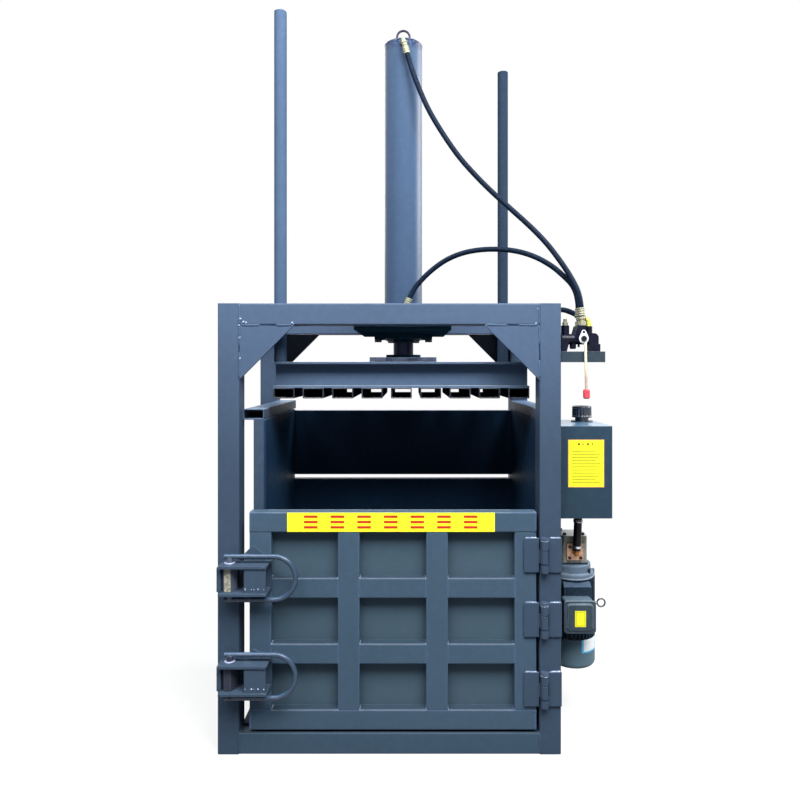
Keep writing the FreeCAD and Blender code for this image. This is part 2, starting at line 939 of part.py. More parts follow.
def guide_sleeves():
    """Sleeves round the guide rods, each on a pad that is welded to the nearest cross beam."""
    sleeves = []
    for (x, depth), beam_face in zip(guide_places(), (post_size, back_beam)):
        base = spot(x, depth, beam_low)
        body = Part.makeCylinder(sleeve_r, post_size, base)
        near, far = sorted((beam_face, depth))
        pad = block(x - sleeve_pad_wide / 2, x + sleeve_pad_wide / 2, near, far,
                    beam_low, frame_height)
        bore = Part.makeCylinder(guide_r + sleeve_gap, post_size, base)
        sleeves.append(body.fuse(pad).cut(bore))
    return sleeves


# ---- hydraulic line ends: each is the centre of the ferrule's free end and its direction ----
def line_end(corner, direction):
    """Free end of a ferrule that starts a short leg away from the elbow's corner."""
    return corner + direction * (elbow_leg + ferrule_long), direction


top_corner = spot(press_x, hose_port_depth, top_port_level)
top_direction = leaning(top_port_lean, -1.0)
low_corner = spot(press_x, hose_port_depth, low_port_level)
low_direction = leaning(low_port_lean)
feed_corner = spot(feed_port_x, main_port_depths[0], valve_top + union_high)
feed_direction = leaning(-feed_ferrule_lean)
back_corner = spot(back_port_x, main_port_depths[1], valve_top + union_high)
back_direction = leaning(-back_ferrule_lean)
supply_corner = spot(supply_port_x, supply_port_depth, valve_top + union_high)
supply_direction = FreeCAD.Vector(-0.55, 0.72, 0.42).normalize()
outlet_corner = spot(outlet_x, unit_depth + pump_deep / 2 + elbow_leg, outlet_level)
outlet_direction = FreeCAD.Vector(-0.2, 0.45, 0.87).normalize()

upper_hose_ends = (line_end(top_corner, top_direction),
                   (feed_corner + feed_direction * ferrule_long, feed_direction))
lower_hose_ends = (line_end(low_corner, low_direction),
                   (back_corner + back_direction * ferrule_long, back_direction))
supply_hose_ends = (line_end(supply_corner, supply_direction),
                    line_end(outlet_corner, outlet_direction))

# Points between the ends of each hose: across, depth and height, chosen along the real hose.
upper_hose_route = ((117, 244, 2547), (155, 235, 2459), (214, 225, 2358), (272, 212, 2269),
                    (330, 200, 2199), (392, 186, 2130), (468, 168, 2054), (540, 147, 1982),
                    (604, 124, 1908), (656, 99, 1828), (690, 79, 1765))
lower_hose_route = ((118, 251, 1775), (158, 245, 1815), (223, 234, 1862), (300, 214, 1889),
                    (389, 190, 1896), (483, 163, 1886), (560, 140, 1859), (626, 121, 1817),
                    (667, 109, 1777), (699, 97, 1741))
supply_hose_route = ((681, 216, 1657), (668, 266, 1657), (662, 315, 1642), (662, 354, 1611),
                     (664, 381, 1567), (666, 396, 1509), (668, 402, 1434), (670, 405, 1340),
                     (671, 405, 1230), (671, 405, 1115), (670, 403, 1010), (668, 396, 920),
                     (669, 385, 856))
upper_first_run, upper_last_run = 62.0, 50.0
lower_first_run, lower_last_run = 41.0, 44.0
supply_first_run, supply_last_run = 45.0, 58.0


def hose_points(ends, route, first_run, last_run):
    """The whole route: a straight run out of each ferrule and the chosen points between."""
    (start, out), (finish, back) = ends
    middle = [spot(*place) for place in route]
    return [start, start + out * first_run] + middle + [finish + back * last_run, finish]


def hose_path(points):
    """Straight runs joined by tangent arcs, each as large as its two runs allow."""
    edges = []
    radii = []
    last = points[0]
    for before, here, after in zip(points, points[1:], points[2:]):
        into = (here - before).normalize()
        out = (after - here).normalize()
        half_turn = into.getAngle(out) / 2
        reach = 0.45 * min((here - before).Length, (after - here).Length)
        radius = reach / math.tan(half_turn)
        radii.append(radius)
        arc_start = here - into * reach
        arc_end = here + out * reach
        inward = (out - into).normalize()
        to_centre = radius / math.cos(half_turn)
        middle = here + inward * (to_centre - radius)
        edges.append(Part.LineSegment(last, arc_start).toShape())
        edges.append(Part.Arc(arc_start, middle, arc_end).toShape())
        last = arc_end
    edges.append(Part.LineSegment(last, points[-1]).toShape())
    return Part.Wire(edges), radii


def hose(name, ends, route, first_run, last_run):
    """A rubber hose of even thickness along its route."""
    points = hose_points(ends, route, first_run, last_run)
    path, radii = hose_path(points)
    section = Part.Wire(Part.makeCircle(hose_r, points[0], points[1] - points[0]))
    shape = path.makePipeShell([section], True, False)
    expected = math.pi * hose_r ** 2 * path.Length
    print(name, "length", round(path.Length), "mm, least radius", round(min(radii)),
          "mm, volume over section times length", round(shape.Volume / expected, 4))
    return shape


def ferrule(end, direction):
    """Crimped ferrule that ends at the hose, with a narrower tail towards its elbow."""
    start = end - direction * ferrule_long
    collar = rod(ferrule_r, start + direction * ferrule_tail_long, end)
    return rod(ferrule_tail_r, start, end).fuse(collar).removeSplitter()


def hose_ferrules():
    """Ferrules on both ends of the three hoses."""
    ends = upper_hose_ends + lower_hose_ends + supply_hose_ends
    return [ferrule(end, direction) for end, direction in ends]


def elbow(port, corner, direction):
    """Round bent fitting from a port face round a corner to a ferrule."""
    body = rod(elbow_r, port, corner).fuse(Part.makeSphere(elbow_r, corner))
    return body.fuse(rod(elbow_r, corner, corner + direction * elbow_leg)).removeSplitter()


def port_elbows():
    """Bent fittings with swivel nuts at the cylinder's two ports and at the pump's outlet."""
    pieces = []
    for corner, direction, inward in ((top_corner, top_direction, along_y),
                                      (low_corner, low_direction, along_y),
                                      (outlet_corner, outlet_direction, -along_y)):
        nut = hexagon(elbow_nut_r, elbow_nut_high,
                      corner + direction * (elbow_leg - elbow_nut_high), direction)
        body = elbow(corner + inward * elbow_leg, corner, direction)
        pieces.append(body.fuse(nut).removeSplitter())
    return pieces


# ---- valve ----
def side_brackets():
    """Flat rails across the right posts, the valve's angle bracket and the motor's plate."""
    pieces = []
    for level in side_rail_levels:
        pieces.append(block(frame_side, rail_outer, side_rail_end, frame_depth - side_rail_end,
                            level, level + side_rail_wide))
    right = frame_side + bracket_reach
    back = bracket_front + bracket_deep
    shelf = block(frame_side, right, bracket_front, back,
                  bracket_top - bracket_thick, bracket_top)
    lip = block(frame_side, right, bracket_front, bracket_front + bracket_thick,
                bracket_top - bracket_drop, bracket_top)
    pieces.append(shelf.fuse(lip).removeSplitter())
    plate = block(rail_outer, unit_x + pump_wide / 2, pump_front, unit_depth + unit_plate_reach,
                  shield_top, shield_top + unit_plate_thick)
    hole = Part.makeCylinder(unit_plate_hole_r, unit_plate_thick,
                             spot(unit_x, unit_depth, shield_top))
    pieces.append(plate.cut(hole))
    return pieces


def valve_main_block():
    """Tapered block on the spool barrel that carries the two working ports."""
    left, right = main_block
    front = valve_front + main_block_setback
    left_taper, right_taper = main_block_tapers
    outline = [spot(left, front, spool_z), spot(right, front, spool_z),
               spot(right - right_taper, front, valve_top),
               spot(left + left_taper, front, valve_top)]
    return prism(outline, along_y * (main_port_depths[1] + main_block_margin - front))


def valve_feet():
    """Flared left foot, and right foot with the rounded shoulder above it."""
    back = valve_front + valve_deep
    low, high = left_foot
    outline = [spot(low, valve_front, bracket_top),
               spot(high - left_foot_flare, valve_front, bracket_top),
               spot(high, valve_front, foot_top_z), spot(high, valve_front, spool_z),
               spot(low, valve_front, spool_z)]
    left = prism(outline, along_y * valve_deep)
    low, high = right_foot
    right = block(low, high, valve_front, back, bracket_top, foot_top_z)
    shoulder = block(low, high - shoulder_inset, valve_mid - spool_r, supply_port_depth,
                     foot_top_z, foot_top_z + shoulder_high)
    corner = [edge for edge in shoulder.Edges if runs_along(edge, along_y)
              and edge.Vertexes[0].Point.x > low + 1.0 and edge.Vertexes[0].Point.z > spool_z]
    return [left, right, shoulder.makeFillet(shoulder_round, corner)]


def valve_body():
    """Cast valve: a spool barrel along X on two feet, with raised port towers on top."""
    left = frame_side + valve_left
    spool = rod(spool_r, spot(left, valve_mid, spool_z), spot(left + valve_long, valve_mid, spool_z))
    rims = [edge for edge in spool.Edges if len(edge.Vertexes) == 1]
    drain = Part.makeCylinder(drain_r, spool_level - drain_low,
                              spot(drain_x, valve_mid, bracket_top + drain_low))
    drain_rim = [edge for edge in drain.Edges if lies_level(edge, bracket_top + drain_low)]
    pieces = valve_feet() + [
        valve_main_block(),
        Part.makeCylinder(supply_tower_r, valve_top - spool_z,
                          spot(supply_port_x, supply_port_depth, spool_z)),
        Part.makeCylinder(small_tower_r, valve_top - spool_z,
                          spot(small_port_x, valve_mid, spool_z)),
        Part.makeCylinder(pivot_lug_r, spool_level - pivot_lug_low,
                          spot(pivot_lug_x, valve_mid, bracket_top + pivot_lug_low)),
        drain.makeFillet(drain_round, drain_rim)]
    body = spool.makeFillet(spool_round, rims).multiFuse(pieces)
    bore = Part.makeCylinder(lever_pin_r + running_fit, lever_bore_deep + spool_r,
                             spot(lever_x, lever_pin_end() - lever_bore_deep - spool_r, spool_z),
                             along_y)
    return body.cut(bore)


def valve_unions():
    """Hexagon unions on the valve's two working ports, and the plain plug on the third."""
    pieces = []
    for corner, direction in ((feed_corner, feed_direction), (back_corner, back_direction)):
        base = FreeCAD.Vector(corner.x, corner.y, valve_top)
        nut = hexagon(union_hex_r, union_high - union_neck, base)
        seat = rod(ferrule_r, corner, corner + direction * elbow_r)
        stem = rod(elbow_r, base, corner + along_z).cut(seat)
        pieces.append(nut.fuse(stem).removeSplitter())
    base = spot(small_port_x, valve_mid, valve_top)
    stem = Part.makeCylinder(plug_stem_r, plug_stem_high, base)
    pieces.append(hexagon(plug_hex_r, plug_hex_high, base).fuse(stem).removeSplitter())
    return pieces


def supply_union():
    """Yellow elbow on the valve's supply port."""
    base = FreeCAD.Vector(supply_corner.x, supply_corner.y, valve_top)
    nut = hexagon(supply_nut_r, union_high - elbow_r, base)
    return nut.fuse(elbow(base, supply_corner, supply_direction)).removeSplitter()


def lever_pin_end():
    """Depth of the bottom of the lever's bore in the front of the valve."""
    return valve_mid - spool_r + lever_bore_deep


def lever_plate():
    """Teardrop plate on the valve's pivot, with a hole near its top, the pin and its nut."""
    plate_front = lever_depth - lever_plate_thick / 2
    centre = spot(lever_x, plate_front, spool_z)
    tip = centre + along_z * lever_hole_rise
    lean = math.asin((lever_low_r - lever_high_r) / lever_hole_rise)
    side = FreeCAD.Vector(math.cos(lean), 0, math.sin(lean))
    mirror = FreeCAD.Vector(-side.x, 0, side.z)
    low_right, low_left = centre + side * lever_low_r, centre + mirror * lever_low_r
    high_right, high_left = tip + side * lever_high_r, tip + mirror * lever_high_r
    edges = [Part.Arc(low_left, centre - along_z * lever_low_r, low_right).toShape(),
             Part.LineSegment(low_right, high_right).toShape(),
             Part.Arc(high_right, tip + along_z * lever_high_r, high_left).toShape(),
             Part.LineSegment(high_left, low_left).toShape()]
    plate = Part.Face(Part.Wire(edges)).extrude(along_y * lever_plate_thick)
    plate = plate.cut(Part.makeCylinder(lever_hole_r, lever_plate_thick, tip, along_y))
    pin = Part.makeCylinder(lever_pin_r, lever_pin_end() - lever_pin_clear - plate_front,
                            centre, along_y)
    nut = hexagon(lever_nut_r, lever_nut_high, centre, -along_y)
    return plate.multiFuse([pin, nut]).removeSplitter()


def lever_rod_top():
    """Upper end of the lever's rod, beside the pivot's nut."""
    return spot(lever_x + lever_rod_offset, lever_depth, spool_z - lever_low_r + lever_rod_hold)


def lever_rod_foot():
    """Lower end of the lever's rod, where the knob starts."""
    top = lever_rod_top()
    drop = top.z - spool_z + lever_rod_long
    return top + leaning(lever_rod_lean, -1.0) * (drop / math.cos(math.radians(lever_rod_lean)))


def lever_rod():
    """Thin rod down to the knob, with its upper end slotted over the lever plate."""
    return rod(lever_rod_r, lever_rod_top(), lever_rod_foot()).cut(lever_plate())


def lever_knob():
    """Round knob on the lower end of the lever's rod."""
    body = Part.makeCylinder(knob_r, knob_high, lever_rod_foot(), leaning(lever_rod_lean, -1.0))
    rims = [edge for edge in body.Edges if len(edge.Vertexes) == 1]
    return body.makeChamfer(knob_edge, rims)


# ---- tank ----
def oil_tank():
    """Folded and welded oil tank, open inside, with a filler hole and an outlet spigot."""
    right = tank_left + tank_wide
    back = tank_front + tank_deep
    outer = bar(tank_left, right, tank_front, back, tank_base, tank_top, along_z, tank_corner)
    outlet, foot, upward = suction_axis()
    spigot = rod(suction_bore_r, outlet + upward * spigot_root, outlet - upward * spigot_long)
    inner = block(tank_left + tank_wall, right - tank_wall, tank_front + tank_wall,
                  back - tank_wall, tank_base + tank_wall, tank_top - tank_wall)
    mouth = Part.makeCylinder(neck_r - neck_wall, tank_wall,
                              spot(filler_x, filler_depth, tank_top - tank_wall))
    return outer.fuse(spigot).cut(inner).cut(mouth)


def filler_neck():
    """Flanged neck on the tank's top, over the hole that oil is poured through."""
    base = spot(filler_x, filler_depth, tank_top)
    outer = Part.makeCylinder(neck_r, neck_high, base)
    flange = Part.makeCylinder(neck_flange_r, neck_flange_high, base)
    bore = Part.makeCylinder(neck_r - neck_wall, neck_high, base)
    return outer.fuse(flange).cut(bore).removeSplitter()


def filler_cap():
    """Breather cap that drops over the filler neck and rests on the neck's rim."""
    base = spot(filler_x, filler_depth, tank_top + cap_rise)
    body = Part.makeCylinder(cap_r, cap_high, base)
    top_rim = [edge for edge in body.Edges if lies_level(edge, base.z + cap_high)]
    body = body.makeChamfer(cap_edge, top_rim)
    return body.cut(Part.makeCylinder(neck_r + cap_gap, neck_high - cap_rise, base))


# ---- pump and suction line ----
def pump_body():
    """Gear pump: a rounded body under a bolted cover."""
    half = pump_wide / 2
    split = pump_top - pump_cover
    body = bar(unit_x - half, unit_x + half, pump_front, pump_front + pump_deep,
               pump_base, split - pump_groove_high, along_z, pump_corner)
    cover = bar(unit_x - half, unit_x + half, pump_front, pump_front + pump_deep,
                split, pump_top, along_z, pump_corner)
    groove = pump_groove_deep
    neck = bar(unit_x - half + groove, unit_x + half - groove, pump_front + groove,
               pump_front + pump_deep - groove, split - pump_groove_high, split,
               along_z, pump_corner - groove)
    return body.multiFuse([neck, cover])


def pump_bolts():
    """Socket screws in the pump's cover and through its inlet flange."""
    bolts = []
    out_x = pump_wide / 2 - pump_corner
    out_y = pump_deep / 2 - pump_corner
    for x in (unit_x - out_x, unit_x + out_x):
        for depth in (unit_depth - out_y, unit_depth + out_y):
            bolts.append(Part.makeCylinder(cover_bolt_r, cover_bolt_high,
                                           spot(x, depth, pump_top)))
    half = small_bolt_spread / 2
    face = pump_front - port_flange_thick - small_bolt_high
    for x in (unit_x - half, unit_x + half):
        for level in (port_flange_level - half, port_flange_level + half):
            bolts.append(Part.makeCylinder(small_bolt_r, small_bolt_high,
                                           spot(x, face, level), along_y))
    return bolts


def suction_axis():
    """Upper and lower point of the suction hose's centre line, and its direction upward."""
    top = spot(unit_x + suction_lean, suction_depth, tank_base)
    foot = spot(unit_x, suction_depth, port_flange_level)
    return top, foot, (top - foot).normalize()


def suction_ends():
    """Upper and lower end of the suction hose on its centre line, and its direction upward."""
    top, foot, upward = suction_axis()
    return top - upward * hose_end_gap, foot + upward * elbow_rise, upward


def pump_inlet():
    """Square brass flange on the pump with an elbow that points up to the tank."""
    half = port_flange_size / 2
    plate = bar(unit_x - half, unit_x + half, pump_front - port_flange_thick, pump_front,
                port_flange_level - half, port_flange_level + half, along_y, port_flange_corner)
    top, foot, upward = suction_axis()
    stub = rod(suction_bore_r, spot(unit_x, pump_front - port_flange_thick, port_flange_level),
               foot)
    riser = rod(suction_bore_r, foot, foot + upward * (elbow_rise + spigot_long))
    pieces = [stub, Part.makeSphere(suction_bore_r, foot), riser]
    return plate.multiFuse(pieces).removeSplitter()


def suction_hose():
    """Short thick hose between the tank's outlet and the pump's inlet elbow."""
    high, low, upward = suction_ends()
    return rod(suction_r, low, high).cut(rod(suction_bore_r, low, high))


def hose_clamps():
    """Worm-drive clamps near both ends of the suction hose."""
    high, low, upward = suction_ends()
    pieces = []
    for base in (low + upward * clamp_low_inset, high - upward * (clamp_high_inset + clamp_high)):
        band = ring(suction_r + clamp_wall, suction_r, clamp_high, base, upward)
        start = base + upward * (clamp_high / 2) - along_y * (suction_r + clamp_screw_out)
        screw = Part.makeCylinder(clamp_screw_r, clamp_screw_long,
                                  start - along_x * (clamp_screw_long / 2), along_x)
        pieces.append(band.fuse(screw).cut(rod(suction_r, low, high)))
    return pieces


# ---- motor ----
def motor_pad():
    """Flat ribbed pad on the front of the casing, bevelled along its top."""
    half = motor_pad_wide / 2
    pad = block(unit_x - half, unit_x + half, pad_front, unit_depth, terminal_base, motor_pad_top)
    top_edge = [edge for edge in pad.Edges if runs_along(edge, along_x)
                and edge.Vertexes[0].Point.z > motor_pad_top - 1.0
                and edge.Vertexes[0].Point.y < front_y + pad_front + 1.0]
    pad = pad.makeChamfer(motor_pad_bevel, top_edge)
    wide = motor_pad_groove
    pitch = motor_pad_wide / (motor_pad_grooves + 1)
    grooves = []
    for step in range(motor_pad_grooves):
        left = unit_x - half + pitch * (step + 1) - wide / 2
        grooves.append(block(left, left + wide, pad_front, pad_front + wide,
                             terminal_base, motor_pad_top - motor_pad_bevel))
    return pad.cut(grooves)


def motor_housing():
    """Finned motor casing with its bore."""
    base = spot(unit_x, unit_depth, fin_base)
    high = fin_top - fin_base
    core = Part.makeCylinder(motor_core_r, high, base)
    fins = []
    for step in range(fin_count):
        fin = Part.makeBox(motor_r - motor_core_r + fin_root, fin_thick, high,
                           FreeCAD.Vector(motor_core_r - fin_root, -fin_thick / 2, 0))
        fin.rotate(FreeCAD.Vector(0, 0, 0), along_z, 360.0 * (step + 0.5) / fin_count)
        fin.translate(base)
        fins.append(fin)
    half = motor_pad_wide / 2
    room = block(unit_x - half, unit_x + half, pad_front, unit_depth - motor_core_reach,
                 motor_pad_top - motor_pad_bevel, fin_top)
    trimmed = [fin.cut(room) for fin in fins]
    casing = core.multiFuse(trimmed + [motor_pad()])
    return casing.cut(Part.makeCylinder(motor_bore_r, high, base))


def motor_end_shield():
    """Drive-end shield: a wide ring with a lug on each side, and a narrower ring on top."""
    base = spot(unit_x, unit_depth, fin_top)
    high = shield_top - fin_top
    wide = Part.makeCylinder(shield_ring_r, shield_ring_high, base)
    rim = [edge for edge in wide.Edges if lies_level(edge, fin_top + shield_ring_high)]
    neck = Part.makeCylinder(shield_neck_r, high, base)
    neck_rim = [edge for edge in neck.Edges if lies_level(edge, shield_top)]
    pieces = [neck.makeFillet(shield_round, neck_rim),
              Part.makeCylinder(shield_lip_r, shield_lip_high, base)]
    for side in (-1, 1):
        pieces.append(Part.makeCylinder(shield_lug_r, shield_ring_high,
                                        base + along_x * (side * shield_lug_out)))
    bore = Part.makeCylinder(shaft_r + shield_bore_gap, high, base)
    return wide.makeFillet(shield_round, rim).multiFuse(pieces).cut(bore).removeSplitter()


def shield_bolts():
    """Screws that stand on the end shield's wide ring, close round the narrower ring."""
    bolts = []
    out = shield_neck_r + shield_bolt_r + shield_bolt_gap
    for step in range(4):
        turn = math.radians(45 + 90 * step)
        place = spot(unit_x + out * math.cos(turn), unit_depth + out * math.sin(turn),
                     fin_top + shield_ring_high - shield_round)
        shaft = Part.makeCylinder(shield_bolt_r, shield_bolt_high + shield_round, place)
        bolts.append(shaft.cut(motor_end_shield()))
    return bolts


def fan_cowl():
    """Pressed cowl over the fan, with slots in its rounded end."""
    base = spot(unit_x, unit_depth, cowl_base)
    high = fin_base - cowl_base
    outer = Part.makeCylinder(motor_r, high, base)
    rim = [edge for edge in outer.Edges if lies_level(edge, cowl_base)]
    outer = outer.makeFillet(cowl_round, rim)
    inner = Part.makeCylinder(motor_r - cowl_wall, high - cowl_wall, base + along_z * cowl_wall)
    rim = [edge for edge in inner.Edges if lies_level(edge, cowl_base + cowl_wall)]
    shell = outer.cut(inner.makeChamfer(cowl_round * cowl_inner_share, rim))
    slots = []
    for step in range(cowl_slot_count):
        slot = Part.makeBox(cowl_slot_long, cowl_slot_wide, cowl_wall * 3,
                            FreeCAD.Vector(cowl_slot_start, -cowl_slot_wide / 2, -cowl_wall))
        slot.rotate(FreeCAD.Vector(0, 0, 0), along_z, 360.0 * step / cowl_slot_count)
        slot.translate(base)
        slots.append(slot)
    return shell.cut(slots)


def terminal_box():
    """Cast terminal box on the front of the motor, with a rounded lid."""
    left = terminal_x - terminal_wide / 2
    right = left + terminal_wide
    high = terminal_base + terminal_high
    lid_front = terminal_front + terminal_panel_proud
    lid_back = lid_front + terminal_lid
    lid = bar(left, right, lid_front, lid_back, terminal_base, high, along_y, terminal_corner)
    lip = terminal_lip
    body = bar(left + lip, right - lip, lid_back, pad_front,
               terminal_base + lip, high - lip, along_y, terminal_corner - lip)
    inset = terminal_panel_inset
    panel = bar(left + inset, right - inset, terminal_front, lid_front,
                terminal_base + inset, high - inset, along_y, terminal_corner)
    front = [face for face in panel.Faces
             if abs(face.CenterOfMass.y - front_y - terminal_front) < 0.01]
    panel = panel.makeChamfer(terminal_panel_proud * terminal_bevel_share, front[0].Edges)
    return lid.multiFuse([body, panel]).removeSplitter()


def motor_eye():
    """Lifting eye screwed into the right side of the motor casing, its rim bevelled all round."""
    centre = spot(eye_x, unit_depth, eye_level)
    hoop = ring(eye_r + eye_bar_r, eye_r - eye_bar_r, 2 * eye_bar_r,
                centre - along_y * eye_bar_r, along_y)
    rims = [edge for edge in hoop.Edges if len(edge.Vertexes) == 1]
    hoop = hoop.makeChamfer(eye_bar_r * eye_bevel_share, rims)
    stem = rod(eye_stem_r, spot(unit_x + motor_bore_r, unit_depth, eye_level),
               spot(eye_x - eye_r, unit_depth, eye_level))
    core = Part.makeCylinder(motor_core_r, fin_top - fin_base, spot(unit_x, unit_depth, fin_base))
    return hoop.fuse(stem.cut(core)).removeSplitter()


def motor_rotor():
    """Shaft and rotor of the motor."""
    shaft = rod(shaft_r, spot(unit_x, unit_depth, cowl_base + fan_rise - shaft_clear),
                spot(unit_x, unit_depth, shield_top))
    middle = (fin_base + fin_top) / 2
    drum = Part.makeCylinder(rotor_r, rotor_high,
                             spot(unit_x, unit_depth, middle - rotor_high / 2))
    return shaft.fuse(drum).removeSplitter()


def cooling_fan():
    """Fan on the lower end of the motor's shaft: a hub with flat blades under a disc."""
    base = spot(unit_x, unit_depth, cowl_base + fan_rise)
    hub = Part.makeCylinder(shaft_r + fan_hub_wall, fan_blade_high + fan_sheet, base)
    disc = Part.makeCylinder(fan_r, fan_sheet, base + along_z * fan_blade_high)
    blades = []
    for step in range(fan_blade_count):
        blade = Part.makeBox(fan_r - shaft_r, fan_sheet, fan_blade_high,
                             FreeCAD.Vector(shaft_r, -fan_sheet / 2, 0))
        blade.rotate(FreeCAD.Vector(0, 0, 0), along_z, 360.0 * step / fan_blade_count)
        blade.translate(base)
        blades.append(blade)
    whole = hub.multiFuse([disc] + blades)
    bore = Part.makeCylinder(shaft_r, fan_blade_high + fan_sheet, base)
    return whole.cut(bore).removeSplitter()


def all_nodes():
    """Every sub-part by its name, as one solid or a list of separate like solids."""
    return {
        "frame_posts": frame_posts(),
        "top_beams": top_beams(),
        "base_beams": base_beams(),
        "corner_gussets": corner_gussets(),
        "floor_plate": floor_plate(),
        "wall_tubes": wall_tubes(),
        "wall_plates": wall_plates(),
        "back_panels": back_panels(),
        "hinge_frame_leaves": hinge_frame_leaves(),
        "hinge_pins": hinge_pins(),
        "keeper_plates": keeper_plates(),
        "cylinder_mount_plate": cylinder_mount_plate(),
        "cylinder_barrel": cylinder_barrel(),
        "cylinder_head": cylinder_head(),
        "lifting_loop": lifting_loop(),
        "cylinder_flange": cylinder_flange(),
        "flange_bolts": flange_bolts(),
        "rod_gland": rod_gland(),
        "guide_sleeves": guide_sleeves(),
        "side_brackets": side_brackets(),
        "valve_body": valve_body(),
        "valve_unions": valve_unions(),
        "supply_union": supply_union(),
        "port_elbows": port_elbows(),
        "hose_ferrules": hose_ferrules(),
        "upper_hose": hose("upper_hose", upper_hose_ends, upper_hose_route,
                           upper_first_run, upper_last_run),
        "lower_hose": hose("lower_hose", lower_hose_ends, lower_hose_route,
                           lower_first_run, lower_last_run),
        "supply_hose": hose("supply_hose", supply_hose_ends, supply_hose_route,
                            supply_first_run, supply_last_run),
        "oil_tank": oil_tank(),
        "pump_body": pump_body(),
        "unit_bolts": pump_bolts() + shield_bolts(),
        "pump_inlet": pump_inlet(),
        "suction_hose": suction_hose(),
        "hose_clamps": hose_clamps(),
        "motor_housing": motor_housing(),
        "motor_end_shield": motor_end_shield(),
        "fan_cowl": fan_cowl(),
        "terminal_box": terminal_box(),
        "motor_eye": motor_eye(),
        "piston": piston(),
        "piston_rod": piston_rod(),
        "rod_flange": rod_flange(),
        "seat_plate": seat_plate(),
        "platen_channels": platen_channels(),
        "platen_feet": platen_feet(),
        "guide_rods": guide_rods(),
        "door_sheet": door_sheet(),
        "door_frame_tubes": door_frame_tubes() + door_end_caps(),
        "door_hinge_leaves": door_hinge_leaves(),
        "latch_housings": latch_housings(),
        "upper_latch_cam": latch_cam(latch_levels[0]),
        "upper_latch_handle": latch_handle(latch_levels[0]),
        "lower_latch_cam": latch_cam(latch_levels[1]),
        "lower_latch_handle": latch_handle(latch_levels[1]),
        "lever_plate": lever_plate(),
        "lever_rod": lever_rod(),
        "lever_knob": lever_knob(),
        "filler_neck": filler_neck(),
        "filler_cap": filler_cap(),
        "motor_rotor": motor_rotor().fuse(cooling_fan()).removeSplitter(),
    }


os.makedirs("parts", exist_ok=True)
nodes = all_nodes()
for name, shape in nodes.items():
    whole = Part.makeCompound(shape) if isinstance(shape, list) else shape
    if not whole.isValid() or not whole.Solids:
        print("check", name, "valid", whole.isValid(), "solids", len(whole.Solids))
    whole.exportStep("parts/" + name + ".step")
print(len(nodes), "nodes,", sum(len(Part.makeCompound(s if isinstance(s, list) else [s]).Solids)
                                for s in nodes.values()), "solids")
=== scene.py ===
import math

import bmesh
import bpy
import numpy as np
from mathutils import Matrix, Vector


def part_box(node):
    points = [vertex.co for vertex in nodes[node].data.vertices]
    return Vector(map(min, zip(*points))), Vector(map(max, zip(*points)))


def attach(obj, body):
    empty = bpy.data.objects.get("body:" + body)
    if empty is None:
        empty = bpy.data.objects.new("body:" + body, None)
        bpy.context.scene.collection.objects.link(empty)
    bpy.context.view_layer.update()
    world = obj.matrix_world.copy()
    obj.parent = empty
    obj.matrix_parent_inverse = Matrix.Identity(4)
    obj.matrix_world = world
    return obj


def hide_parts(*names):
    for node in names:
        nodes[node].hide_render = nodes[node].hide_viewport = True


# Vertical hydraulic baler: hoses, ferrules, welds, labels and finishes round the CAD frame.
# Everything is in metres in the CAD frame. Depth is a distance behind the frame's front face.

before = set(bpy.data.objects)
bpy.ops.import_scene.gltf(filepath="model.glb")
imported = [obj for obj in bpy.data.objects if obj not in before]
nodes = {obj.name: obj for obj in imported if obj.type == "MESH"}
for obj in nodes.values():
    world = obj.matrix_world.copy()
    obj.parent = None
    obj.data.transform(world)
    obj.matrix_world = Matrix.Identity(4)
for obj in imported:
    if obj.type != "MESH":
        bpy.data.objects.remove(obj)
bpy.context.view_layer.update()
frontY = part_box("frame_posts")[0].y
print("frame loaded:", len(nodes), "nodes")


def spot(x, depth, z):
    return np.array([x, frontY + depth, z])


def srgb(red, green, blue):
    # an 0 to 255 screen colour turned into the linear values that a shader socket takes
    share = np.array([red, green, blue]) / 255.0
    linear = np.where(share <= 0.04045, share / 12.92, ((share + 0.055) / 1.055) ** 2.4)
    return (*linear.tolist(), 1.0)


cameraSettings = {"place": (0.0749, -2.6758, 1.423), "lens": 28.21, "sensor": 36.0,
                  "shiftX": -0.012125, "shiftY": -0.0405}


def placeCamera(settings):
    lensData = bpy.data.cameras.new("camera")
    lensData.lens = settings["lens"]
    lensData.sensor_width = settings["sensor"]
    lensData.shift_x = settings["shiftX"]
    lensData.shift_y = settings["shiftY"]
    camera = bpy.data.objects.new("camera", lensData)
    camera.location = settings["place"]
    camera.rotation_euler = (math.pi / 2, 0, 0)  # level, looking along +Y
    bpy.context.collection.objects.link(camera)
    bpy.context.scene.camera = camera


placeCamera(cameraSettings)


